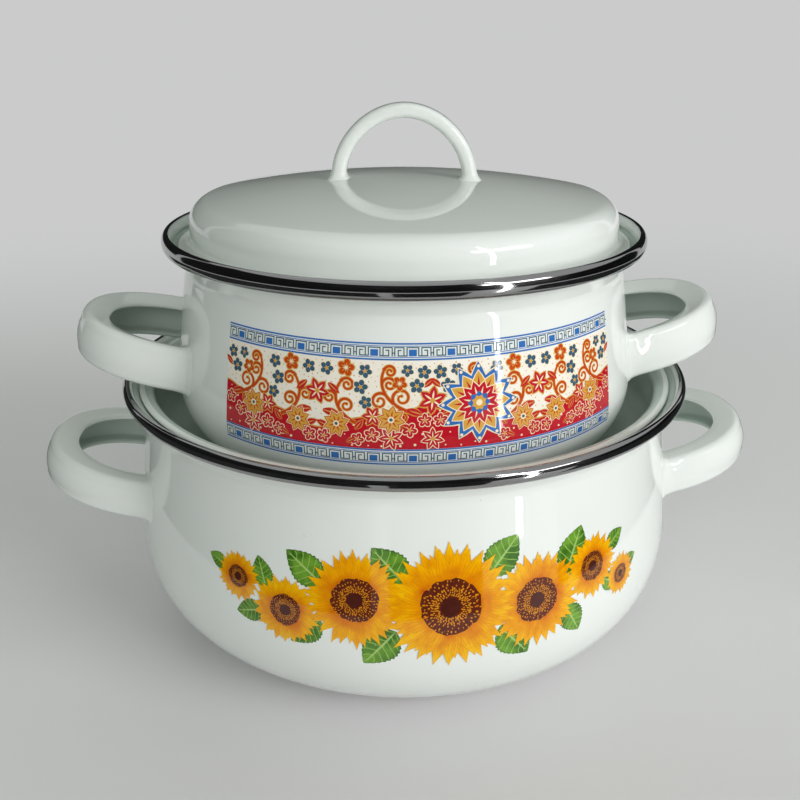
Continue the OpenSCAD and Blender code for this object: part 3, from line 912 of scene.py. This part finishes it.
def petal_colour(name):
    """Yellow petal of a fired print: orange at its foot, with fine darker veins and edges."""
    material, tree, shader, along, across, place = blade_material(name)
    blotch = add(tree, "ShaderNodeTexNoise", {"Vector": place, "Scale": 190.0, "Detail": 4.0})
    shifted = add(tree, "ShaderNodeMath", (blotch, 1.3, along), operation="MULTIPLY_ADD")
    body = mixed_by(tree, shifted, 0.65, 1.2, colour("#C65008"), colour("#E89C00"))
    tip = mixed_by(tree, shifted, 1.2, 1.65, body, colour("#F4BE06"))
    veins = add(tree, "ShaderNodeMath", (across, 11.0), operation="MULTIPLY")
    veins = add(tree, "ShaderNodeMath", (veins,), operation="COSINE")
    veined = mixed_by(tree, veins, 0.55, 1.0, tip, colour("#CC7E06"))
    faint = add(tree, "ShaderNodeMix", {"Factor": 0.55, "A": tip, "B": veined},
                data_type="RGBA")
    side = add(tree, "ShaderNodeMath", (across,), operation="ABSOLUTE")
    edged = mixed_by(tree, side, 0.8, 1.0, faint, colour("#D2860A"))
    feed(tree, shader, {"Base Color": edged})
    return material


def leaf_colour(name):
    """Green leaf of a fired print: lighter ribs on a mottled green."""
    material, tree, shader, along, across, place = blade_material(name)
    mottle = add(tree, "ShaderNodeTexNoise", {"Vector": place, "Scale": 190.0, "Detail": 3.0})
    body = mixed_by(tree, mottle, 0.36, 0.64, colour("#3A6A1C"), colour("#6E9E34"))
    side = add(tree, "ShaderNodeMath", (across,), operation="ABSOLUTE")
    slant = add(tree, "ShaderNodeMath", (side, -0.16, along), operation="MULTIPLY_ADD")
    ribs = add(tree, "ShaderNodeMath", (slant, 44.0), operation="MULTIPLY")
    ribs = add(tree, "ShaderNodeMath", (ribs,), operation="COSINE")
    ribbed = mixed_by(tree, ribs, 0.86, 1.0, body, colour("#94BC58"))
    middle = mixed_by(tree, side, 0.0, 0.1, colour("#ABCB74"), ribbed)
    edged = mixed_by(tree, side, 0.88, 1.0, middle, colour("#2C5A18"))
    feed(tree, shader, {"Base Color": edged})
    return material


# Sunflowers at x, y, radius and layer. y is measured up the wall from the garland's middle
SUNFLOWERS = ((4, 0, 22.5, 4), (-26, 2, 17.5, 3), (33, -2.5, 17.5, 3), (-49, -5, 12.5, 2),
              (56, 2.5, 12, 2), (-67, 2, 9, 1), (71, -6, 8, 1))
# Leaves at x, y, length, turn, and width as a share of the length
LEAVES = ((-10, 8, 16, 42, 0.37), (-36, 6, 16, 52, 0.35), (16, 9, 16, -40, 0.37),
          (44, 3, 17, -24, 0.37), (63, 6, 10, -62, 0.35), (-56, 1, 11, 16, 0.35),
          (-13, -8, 16, 140, 0.37), (20, -9, 16, -140, 0.37), (-37, -6, 14, 134, 0.35),
          (-57, -7, 11, 108, 0.36), (44, -8, 13, -150, 0.36), (61, -4, 10, -122, 0.35),
          (-72, 4, 8, 72, 0.36), (74, -4, 7, -76, 0.36))
FLOWER_STEP = 0.045     # between flowers that lie over one another
FRONT, HEART, FLORET, EYE = 0.012, 0.022, 0.031, 0.037      # layers over the back petals
LEAF_LAYER = -0.02      # leaves lie under the flowers, at three heights LEAF_STEP apart
LEAF_STEP = 0.004

PETAL = (0.5, 0.72, 0.9, 1.0, 0.98, 0.84, 0.56, 0.24, 0.02)     # half widths along a petal
PETAL_SHARE = 0.442     # a ring's half widths together, as a share of the flower's girth
PETAL_FOOT = 0.3        # where petals start, as a share of their flower's radius
PETAL_LEAN = 0.006      # how far a petal's left edge lies over its middle
FRONT_LENGTH = 0.86     # of a front petal, as a share of a back one's
DISC_SHARE = 0.43       # a disc's radius as a share of its flower's
EYE_SHARE = 0.34        # and its dark eye's as a share of its own

# Two zones of florets: inner and outer radius and least gap as shares of the disc's radius, and
# how many there are at most on a square as wide as that radius
FLORETS = ((0.34, 0.62, 0.056, 680), (0.6, 0.96, 0.1, 136))
FLORET_LENGTH = 0.085
FLORET_WIDTHS = (0.016, 0.03, 0.01)


def garland():
    """Flat meshes of the garland's five colours."""
    petals, hearts, florets, eyes, leaves = [], [], [], [], []
    for number, (x, y, radius, layer) in enumerate(SUNFLOWERS):
        count = 26 if radius > 15 else 20
        widths = [PETAL_SHARE * math.tau * radius / count * w for w in PETAL]
        z = layer * FLOWER_STEP
        foot = radius * PETAL_FOOT
        for length, scatter, turn, seed, over in ((1, 0.12, 0, 20, 0),
                                                  (FRONT_LENGTH, 0.16, 180 / count, 40, FRONT)):
            petal = blade("petal", (radius - foot) * length, widths, PETAL_LEAN)
            petals.append(moved(in_ring("petals", petal, count, foot, scatter, turn,
                                        seed + number), x, y, z + over))
        heart = radius * DISC_SHARE
        hearts.append(moved(disc("heart", heart, 0.05, 4, 40), x, y, z + HEART, 40 * number))
        tick = blade("floret", heart * FLORET_LENGTH, [w * heart for w in FLORET_WIDTHS])
        for low, high, gap, density in FLORETS:
            rows = [[(heart * r * cos(-9 * k), heart * r * sin(-9 * k)) for k in range(41)]
                    for r in (low, high)]
            zone = flat_grid("floret_zone", rows)
            florets.append(moved(sprinkled("florets", zone, tick, gap * heart,
                                           density / heart ** 2, 0.6, 1.0, 60 + number),
                                 x, y, z + FLORET))
        eyes.append(moved(disc("eye", heart * EYE_SHARE, 0.1, 2, 24), x, y, z + EYE))
    for number, (x, y, length, turn, share) in enumerate(LEAVES):
        # Every second width is drawn in, so that the edge has small teeth
        widths = [length * share * max(0.02, math.sin(math.pi * t ** 0.8) ** 0.85
                                       * (1.05 if i % 2 else 0.95))
                  for i, t in enumerate(shares(22))]
        leaves.append(moved(blade("leaf", length, widths), x, y,
                            LEAF_LAYER + LEAF_STEP * (number % 3), turn))
    return petals, hearts, florets, eyes, leaves


petals, hearts, florets, eyes, leaves = garland()
fire(large, 103, 53, (
    ("leaves", leaves, leaf_colour("fired_leaf_green")),
    ("petals", petals, petal_colour("fired_sunflower_yellow")),
    ("hearts", hearts, fired_colour("fired_seed_brown", "#4A1C14", "#6B2C17")),
    ("florets", florets, fired_colour("fired_ochre", "#E39A1E", "#C97A16")),
    ("eyes", eyes, fired_colour("fired_dark_brown", "#3A1712", "#54241A"))))


# The small pot's band: key borders, a pale upper field and a red lower field with a wavy crest,
# scrolls, blossoms and one large rosette. Measures are millimetres, y from the band's foot.

BAND_HALF = 71.5        # half the band's width along the wall
BAND_TALL = 38.5
BORDER = 5.4            # height of a border
UNITS = 4               # the field's design repeats, every second unit mirrored
UNIT = 2 * BAND_HALF / UNITS
LAYER = 0.012           # step between colours that lie over one another
COLUMNS = [BAND_HALF * (2 * k / 96 - 1) for k in range(97)]
BAND_COLOURS = {
    "ground": ("fired_ivory", "#F5F2EA", "#EEE6D0", 60.0),
    "red": ("fired_selenium_red", "#C4182A", "#B81626"),
    "blue": ("fired_cobalt_blue", "#2F66AE", "#3B76BC"),
    "key": ("fired_dark_teal", "#2C5568", "#365F6E"),
    "gold": ("fired_gold_ochre", "#DDAA4E", "#CF9A3C"),
    "orange": ("fired_iron_orange", "#C8491C", "#B84218"),
    "slate": ("fired_slate_blue", "#42637A", "#395566"),
    "crimson": ("fired_crimson", "#B81C2C", "#C62434"),
    "cream": ("fired_cream", "#F6E9C8", "#EFE0B8")}

# The border's lines as (middle, thickness), and one unit of its key as lines of square corners
# and the corners of its blocks. y is measured from the border's foot
BORDER_LINES = ((0.3, 0.5), (1.0, 0.22), (4.4, 0.22), (5.1, 0.5))
KEYS = 12
KEY_PITCH = 2 * BAND_HALF / KEYS
KEY_STROKE = 0.34
KEY_LINES = (
    ((0.4, 1.45), (0.4, 3.95), (3.2, 3.95), (3.2, 1.45), (1.45, 1.45), (1.45, 3.11),
     (2.3, 3.11)),
    ((3.2, 1.45), (4.15, 1.45), (4.15, 3.95), (7.75, 3.95), (7.75, 1.45), (8.7, 1.45)),
    ((11.5, 1.45), (11.5, 3.95), (8.7, 3.95), (8.7, 1.45), (10.45, 1.45), (10.45, 3.11),
     (9.6, 3.11)),
    ((11.5, 2.28), (KEY_PITCH + 0.4, 2.28)))
BLOCK_X = (4.75, 5.95, 7.15)
BLOCK_Y = (1.35, 3.35)


CREST_Y = 15.4
CREST_SWING = 3.3
CREST_RIPPLE = 1.1
CURL_TURNS = 1.35
CURL_IN = 0.78          # how much of its radius a curl loses


def crest(x):
    """Top of the red field, a hill and a valley in each pair of units."""
    turn = 180 * (x + BAND_HALF) / UNIT
    return CREST_Y + CREST_SWING * cos(turn) + CREST_RIPPLE * cos(3 * turn)


def field(name, low, high, layer):
    """A sheet between two heights, each a number or a function of x, in 12 steps up."""
    bottom = [low(x) if callable(low) else low for x in COLUMNS]
    top = [high(x) if callable(high) else high for x in COLUMNS]
    return flat_grid(name, [[(x, b + (t - b) * r / 12, layer)
                             for x, b, t in zip(COLUMNS, bottom, top)] for r in range(13)])


def strokes(corners, foot):
    """A bar for each stretch of a square-cornered line."""
    half = KEY_STROKE / 2
    bars = []
    for (x0, y0), (x1, y1) in zip(corners, corners[1:]):
        left, right = min(x0, x1) - half, max(x0, x1) + half
        low, high = foot + min(y0, y1) - half, foot + max(y0, y1) + half
        bars.append(flat_grid("key", [[(left, low), (right, low)], [(left, high), (right, high)]]))
    return bars


def border(foot):
    """Blue lines and a Greek key between them: the lines, the key's strokes and its blocks."""
    lines = [flat_grid("border_line", [[(x, foot + y + side) for x in COLUMNS]
                                       for side in (-thick / 2, thick / 2)])
             for y, thick in BORDER_LINES]
    unit = joined("key_unit", [bar for line in KEY_LINES for bar in strokes(line, foot)])
    block = flat_grid("key_block", [[(x, foot + y) for x in BLOCK_X] for y in BLOCK_Y])
    return lines, *[moved(grown("key_row", shape, ROW, Count=KEYS, Pitch=KEY_PITCH * MM),
                          -BAND_HALF, 0) for shape in (unit, block)]


def curl(start, heading, radius, hand):
    """A spiral that leaves a point in a direction and winds inwards, to the left if hand is 1."""
    centre = on_circle(start, radius, heading + 90 * hand)
    first = heading - 90 * hand
    return [on_circle(centre, radius * (1 - CURL_IN * t), first + hand * 360 * CURL_TURNS * t)
            for t in shares(30)]


def bent(a, b, c, d):
    """A smooth stem from a to d, drawn towards b and c."""
    path = []
    for t in shares(24):
        weights = ((1 - t) ** 3, 3 * t * (1 - t) ** 2, 3 * t * t * (1 - t), t ** 3)
        path.append(tuple(sum(w * p[k] for w, p in zip(weights, (a, b, c, d)))
                          for k in (0, 1)))
    return path


# Stems in one unit, each with its curls as (share of the stem, radius, hand, turn of the start)
STEMS = (
    (((5.5, 16.8), (12.5, 18.5), (17.5, 24.0), (14.7, 30.4)),
     ((0.2, 2.2, -1, -15), (0.36, 3.0, 1, 14), (0.58, 2.7, -1, -12), (0.76, 2.3, 1, 12),
      (1.0, 1.9, 1, 0))),
    (((23.5, 13.4), (29.5, 16.0), (31.5, 21.5), (28.0, 26.4)),
     ((0.26, 1.8, -1, -15), (0.42, 2.5, 1, 14), (0.68, 2.1, -1, -12), (1.0, 2.2, 1, 0))))


def vine(corners, curls):
    """One vine: its stem and its curls, as paths with their widths at start and end."""
    stem = bent(*corners)
    paths = [(stem, 1.0, 0.6)]
    for share, radius, hand, swing in curls:
        spot = max(1, int(share * (len(stem) - 1)))
        at, before = stem[spot], stem[spot - 1]
        heading = math.degrees(math.atan2(at[1] - before[1], at[0] - before[0]))
        paths.append((curl(at, heading + swing, radius, hand), 0.8, 0.4))
    return paths


def drawn(paths, extra, layer):
    """Ribbons along paths, wider by a margin, each with a round bud at its end."""
    flats = []
    for path, first, last in paths:
        widths = [first + (last - first) * t + extra for t in shares(len(path) - 1)]
        flats.append(ribbon("scroll", path, widths, layer))
        flats.append(moved(disc("bud", last * 0.9 + extra / 2, 0, 1, 10), *path[-1], layer))
    return flats


def flower(count, length, half, shape, turn):
    """A flat flower of even petals whose half widths follow a shape."""
    return in_ring("flower", blade("petal", length, [half * w for w in shape], 0.003, 1), count,
                   0, 0.03, turn)


LOBE = (0.12, 0.14, 0.34, 0.78, 0.96, 1.0, 0.93, 0.72, 0.2)
LEAF = (0.3, 0.66, 0.92, 1.0, 0.86, 0.5, 0.03)

# Places in one unit, as (x, y, size, turn)
SLATE = ((2.5, 29.5, 0.9, 10), (7.6, 30.1, 0.8, 40), (4.8, 25.3, 0.95, 5), (20.6, 29.7, 0.9, 30),
         (22.0, 24.7, 0.95, 15), (20.4, 20.0, 0.85, 50), (32.8, 29.8, 0.9, 20))
BLOOMS = ((26.6, 30.4, 0.9, 12), (10.0, 26.1, 0.75, 35))
STARS = ((0, 20.8, 1.15, 8), (UNIT, 22.4, 1.05, 20), (18.2, 15.7, 0.85, 30))
GOLD = ((12.6, 14.8, 1.0, 10), (29.4, 12.7, 0.95, 25))
WIRE = ((2.4, 14.6, 0.85, 0), (7.0, 11.6, 0.9, 30), (18.4, 9.8, 0.9, 5), (22.8, 8.2, 0.8, 22),
        (33.4, 8.4, 0.85, 15))
WIRE_STARS = ((12.6, 8.9, 0.85, 10), (0.0, 8.7, 0.8, 0))
SPRIGS = ((15.4, 13.4, 0.95, -64), (9.8, 13.2, 0.85, 116), (23.6, 11.2, 0.8, 38),
          (31.6, 11.4, 0.9, -68), (26.2, 7.0, 0.7, 62), (3.2, 16.4, 1.0, -70),
          (33.8, 16.6, 1.1, 100), (32.2, 25.2, 0.9, 130), (2.6, 25.0, 0.8, 50))
ROSETTE = (14.5, 19.2)
ROSETTE_R = 13.2

# Each motif: its places, its lowest layer, and from the bottom up its colour, petals, length,
# half width and shape. Nought petals is a disc
MOTIFS = (
    (SPRIGS, 3, (("gold", 1, 5.4, 1.3, LEAF), ("crimson", 1, 5.1, 1.05, LEAF),
                 ("gold", 1, 4.2, 0.18, LEAF))),
    (WIRE, 3, (("cream", 5, 2.85, 1.14, LOBE), ("crimson", 5, 2.56, 0.88, LOBE),
               ("cream", 5, 1.7, 0.13, LEAF), ("gold", 0, 0.55, 0, LOBE))),
    (WIRE_STARS, 3, (("cream", 7, 4.9, 1.26, LEAF), ("crimson", 7, 4.5, 0.98, LEAF),
                     ("cream", 7, 3.1, 0.2, LEAF), ("gold", 0, 0.8, 0, LOBE))),
    (SLATE, 5, (("cream", 5, 2.7, 1.15, LOBE), ("slate", 5, 2.45, 0.88, LOBE),
                ("gold", 0, 0.6, 0, LOBE))),
    (BLOOMS, 5, (("gold", 5, 3.3, 1.35, LOBE), ("orange", 5, 2.95, 1.02, LOBE),
                 ("gold", 5, 1.9, 0.2, LEAF), ("cream", 0, 0.6, 0, LOBE))),
    (STARS, 6, (("gold", 6, 4.25, 1.3, LEAF), ("crimson", 6, 3.85, 0.98, LEAF),
                ("cream", 6, 2.7, 0.24, LEAF), ("gold", 0, 0.7, 0, LOBE))),
    (GOLD, 8, (("cream", 8, 4.75, 1.42, LEAF), ("orange", 8, 4.5, 1.22, LEAF),
               ("gold", 8, 4.2, 0.98, LEAF), ("orange", 8, 2.9, 0.24, LEAF),
               ("cream", 0, 1.05, 0, LOBE), ("slate", 0, 0.55, 0, LOBE))))

# The rosette's rings from the bottom up: colour, petals, length as a share of its radius, half
# width and turn
ROSETTE_LAYER = 14
ROSETTE_RINGS = (
    ("cream", 12, 1.0, 3.0, 0), ("blue", 12, 0.965, 2.6, 0), ("cream", 12, 0.78, 2.6, 0),
    ("gold", 12, 0.75, 2.3, 0), ("crimson", 12, 0.63, 0.5, 0), ("cream", 12, 0.55, 1.85, 15),
    ("crimson", 12, 0.52, 1.55, 15), ("cream", 12, 0.4, 0.3, 15), ("blue", 8, 0.28, 1.3, 0),
    ("gold", 8, 0.19, 0.9, 22.5))


def in_units(points):
    """Points of one unit, set in every unit, as (whether it is mirrored, its points)."""
    for number in range(UNITS):
        mirrored = number % 2
        foot = UNIT * (number + mirrored) - BAND_HALF
        yield mirrored, [(foot - p[0] if mirrored else foot + p[0], *p[1:]) for p in points]


def band_places(places, layer):
    """A unit's places over the whole band, but for those that the rosette covers. A place on
    the line between two units comes from both, and is kept once."""
    spots = {}
    for mirrored, unit in in_units(places):
        for x, y, size, turn in unit:
            if math.dist((x, y), ROSETTE) > ROSETTE_R - 2 and abs(x) < BAND_HALF - 1.5:
                spots.setdefault((round(x, 1), y),
                                 (x, y, layer * LAYER, size, -turn if mirrored else turn))
    return list(spots.values())


def band_print():
    """Flat meshes of the band, gathered by colour."""
    by = {name: [] for name in BAND_COLOURS}
    by["ground"].append(field("upper_field", BORDER, BAND_TALL - BORDER, 0))
    by["red"].append(field("red_field", BORDER, crest, LAYER))
    for foot in (0, BAND_TALL - BORDER):
        lines, key, blocks = border(foot)
        by["blue"] += lines + [blocks]
        by["key"].append(key)
    zone = field("zone", BORDER + 0.8, lambda x: crest(x) - 0.8, 2 * LAYER)
    by["cream"].append(sprinkled("red_dots", zone, disc("dot", 0.42, 0, 1, 10), 3.4, 0.6, 0.5))
    zone = field("zone", lambda x: crest(x) + 0.9, BAND_TALL - BORDER - 0.7, LAYER)
    by["gold"].append(sprinkled("field_dots", zone, disc("dot", 0.26, 0, 1, 6), 1.55, 2.0, 0.6,
                                seed=8))
    by["gold"].append(ribbon("crest_line", [(x, crest(x)) for x in COLUMNS],
                             [0.45] * len(COLUMNS), 2 * LAYER))

    paths = []
    for path, first, last in (made for stem in STEMS for made in vine(*stem)):
        paths += [(unit, first, last) for _, unit in in_units(path)]
    by["gold"] += drawn(paths, 0.45, 3 * LAYER)
    by["orange"] += drawn(paths, 0.0, 4 * LAYER)

    for places, lowest, coats in MOTIFS:
        for layer, (name, count, length, half, shape) in enumerate(coats, lowest):
            motif = (flower(count, length, half, shape, 0) if count
                     else disc("motif", length, 0, 1, 12))
            by[name].append(in_places("motif", motif, band_places(places, layer)))

    x, y = ROSETTE
    for layer, (name, count, share, half, turn) in enumerate(ROSETTE_RINGS, ROSETTE_LAYER):
        by[name].append(moved(flower(count, share * ROSETTE_R, half, LEAF, turn),
                              x, y, layer * LAYER))
    dots = [(*on_circle(ROSETTE, 0.86 * ROSETTE_R, 30 * k + 90), (ROSETTE_LAYER + 3) * LAYER,
             1.0, 0) for k in range(12)]
    by["cream"].append(in_places("rosette_dots", disc("dot", 0.5, 0, 1, 10), dots))
    by["cream"].append(moved(disc("eye", 1.0, 0, 1, 14), x, y, (ROSETTE_LAYER + 10) * LAYER))
    return by


fire(small, 84, 19.75, [(label, flats, fired_colour(*BAND_COLOURS[label]))
                        for label, flats in band_print().items()])


# Floor, light and camera

PAPER = "#E0DFE0"
BACKDROP = "#CBCBCC"
FLOOR_HALF = 4000

# Dark cards, seen in reflections alone: the polished rims and the lid mirror them. The near ones
# leave gaps for the window's strip and for a glint of the floor. Each has its radius from the
# part's axis, foot, top, angles round the axis from the front, and tone
CARDS = (("far_card_left", 750, 1, 900, (-120, 28), "#0A0A0B"),
         ("far_card_right", 750, 1, 430, (28, 120), "#0A0A0B"),
         ("far_card_back", 750, 150, 700, (125, 235), "#0A0A0B"),
         ("near_card_left", 205, 1, 110, (-120, -15), "#38383A"),
         ("near_card_front", 205, 1, 110, (-10, 17), "#38383A"),
         ("near_card_right", 205, 1, 110, (42, 120), "#38383A"))

# Lamps: place and aim in metres, size, power and tone
LAMPS = (("window", (0.158, -0.248, 0.2), (0.03, -0.07, 0.2), (0.012, 0.39), 0.24, "#FFFFFF"),
         ("key", (1.1, -1.05, 0.56), (0, 0, 0.1), (0.9, 0.9), 16.0, "#FFFBFE"),
         ("fill", (-0.35, -1.4, 0.8), (0, 0, 0.1), (1.0, 0.8), 5.0, "#FFFBFE"),
         ("overhead", (0.0, 0.25, 1.6), (0, 0, 0.1), (1.2, 1.2), 0.8, "#E6F6E8"),
         ("rear", (-0.1, 1.5, 0.6), (0, 0, 0.1), (1.2, 0.8), 7.0, "#FFFBFE"))


def seen(tree):
    """1 for rays that look at a surface, straight, in a gloss or through glass, 0 for light."""
    ray = add(tree, "ShaderNodeLightPath").outputs
    looking = add(tree, "ShaderNodeMath", (ray["Is Camera Ray"], ray["Is Glossy Ray"]),
                  operation="MAXIMUM")
    return add(tree, "ShaderNodeMath", (looking, ray["Is Transmission Ray"]),
               operation="MAXIMUM")


def floor():
    """Pale paper. Further off, it passes into the backdrop's own tone, so that no edge shows."""
    material, tree, shader = new_material("pale_paper", Base_Color=colour(PAPER),
                                          Roughness=0.85)
    place = add(tree, "ShaderNodeTexCoord").outputs["Object"]
    distance = add(tree, "ShaderNodeVectorMath", (place,), operation="LENGTH")
    far = add(tree, "ShaderNodeMapRange", {"Value": distance, "From Min": 0.2, "From Max": 0.9},
              interpolation_type="SMOOTHSTEP")
    share = add(tree, "ShaderNodeMath", (seen(tree), far), operation="MULTIPLY")
    tone = add(tree, "ShaderNodeEmission", {"Color": colour(BACKDROP)})
    both = add(tree, "ShaderNodeMixShader", (share, shader, tone))
    feed(tree, tree.nodes["Material Output"], {"Surface": both})
    mesh = flat_grid("floor", [[(x, y) for x in (-FLOOR_HALF, FLOOR_HALF)]
                               for y in (-FLOOR_HALF, FLOOR_HALF)])
    mesh.materials.append(material)
    put("floor", mesh)


def cards():
    for name, radius, foot, top, (first, last), tone in CARDS:
        arc = [(radius * sin(a), -radius * cos(a))
               for a in (first + (last - first) * t for t in shares(24))]
        mesh = flat_grid(name, [[(x, y, z) for x, y in arc] for z in (foot, top)])
        mesh.materials.append(new_material("dark_card", Base_Color=colour(tone),
                                           Roughness=0.9)[0])
        card = put(name, mesh)
        card.visible_camera = card.visible_diffuse = card.visible_shadow = False


def room():
    """Grey light from all round, brighter towards the front right, where the window is, and dim
    behind. Rays that look at it see the backdrop."""
    world = bpy.data.worlds.new("room")
    bpy.context.scene.world = world
    world.use_nodes = True
    tree = world.node_tree
    tree.nodes.clear()
    way = add(tree, "ShaderNodeTexCoord").outputs["Generated"]
    towards = add(tree, "ShaderNodeVectorMath", (way, (0.75, -0.62, -0.22)),
                  operation="DOT_PRODUCT")
    light = add(tree, "ShaderNodeMapRange", {"Value": towards, "From Min": -1.0,
                                             "From Max": 1.0, "To Min": 0.5, "To Max": 0.9})
    grey = add(tree, "ShaderNodeBackground", {"Color": colour("#B4BCB5"), "Strength": light})
    backdrop = add(tree, "ShaderNodeBackground", {"Color": colour(BACKDROP), "Strength": 1.0})
    mixed = add(tree, "ShaderNodeMixShader", (seen(tree), grey, backdrop))
    add(tree, "ShaderNodeOutputWorld", {"Surface": mixed})


def lamps():
    for name, place, aim, size, power, tone in LAMPS:
        lamp = bpy.data.lights.new(name, "AREA")
        lamp.shape = "RECTANGLE"
        lamp.size, lamp.size_y = size
        lamp.energy = power
        lamp.color = colour(tone)[:3]
        made = put(name, lamp)
        made.location = place
        made.rotation_euler = (Vector(aim) - made.location).to_track_quat("-Z", "Y").to_euler()
        made.visible_camera = False
        made.visible_diffuse = name != "window"     # this one is there for its reflection alone
        made.visible_glossy = name != "rear"        # and this one leaves the lid's gloss dark


def photo_camera():
    """The photograph's camera, found from the rims' ellipses, in the part's frame."""
    distance, height, pitch, yaw, part_turn = 0.3478, 0.22065, 21.02, -0.27, 6.0
    sensor, pixels, focal, shift = 36, 800, 945, (0.5, -14.7)
    data = bpy.data.cameras.new("photo_camera")
    data.sensor_width = sensor
    data.lens = focal / pixels * sensor
    data.shift_x, data.shift_y = shift[0] / pixels, shift[1] / pixels
    data.clip_start = 0.01
    camera = put("photo_camera", data)
    back = turned_about("Z", -part_turn)
    camera.location = back @ Vector((0, -distance, height))
    look = Vector((sin(yaw) * cos(pitch), cos(yaw) * cos(pitch), -sin(pitch)))
    camera.rotation_euler = (back.to_3x3() @ look).to_track_quat("-Z", "Y").to_euler()
    bpy.context.scene.camera = camera


floor()
cards()
room()
lamps()
photo_camera()
bpy.context.scene.view_settings.view_transform = "Standard"
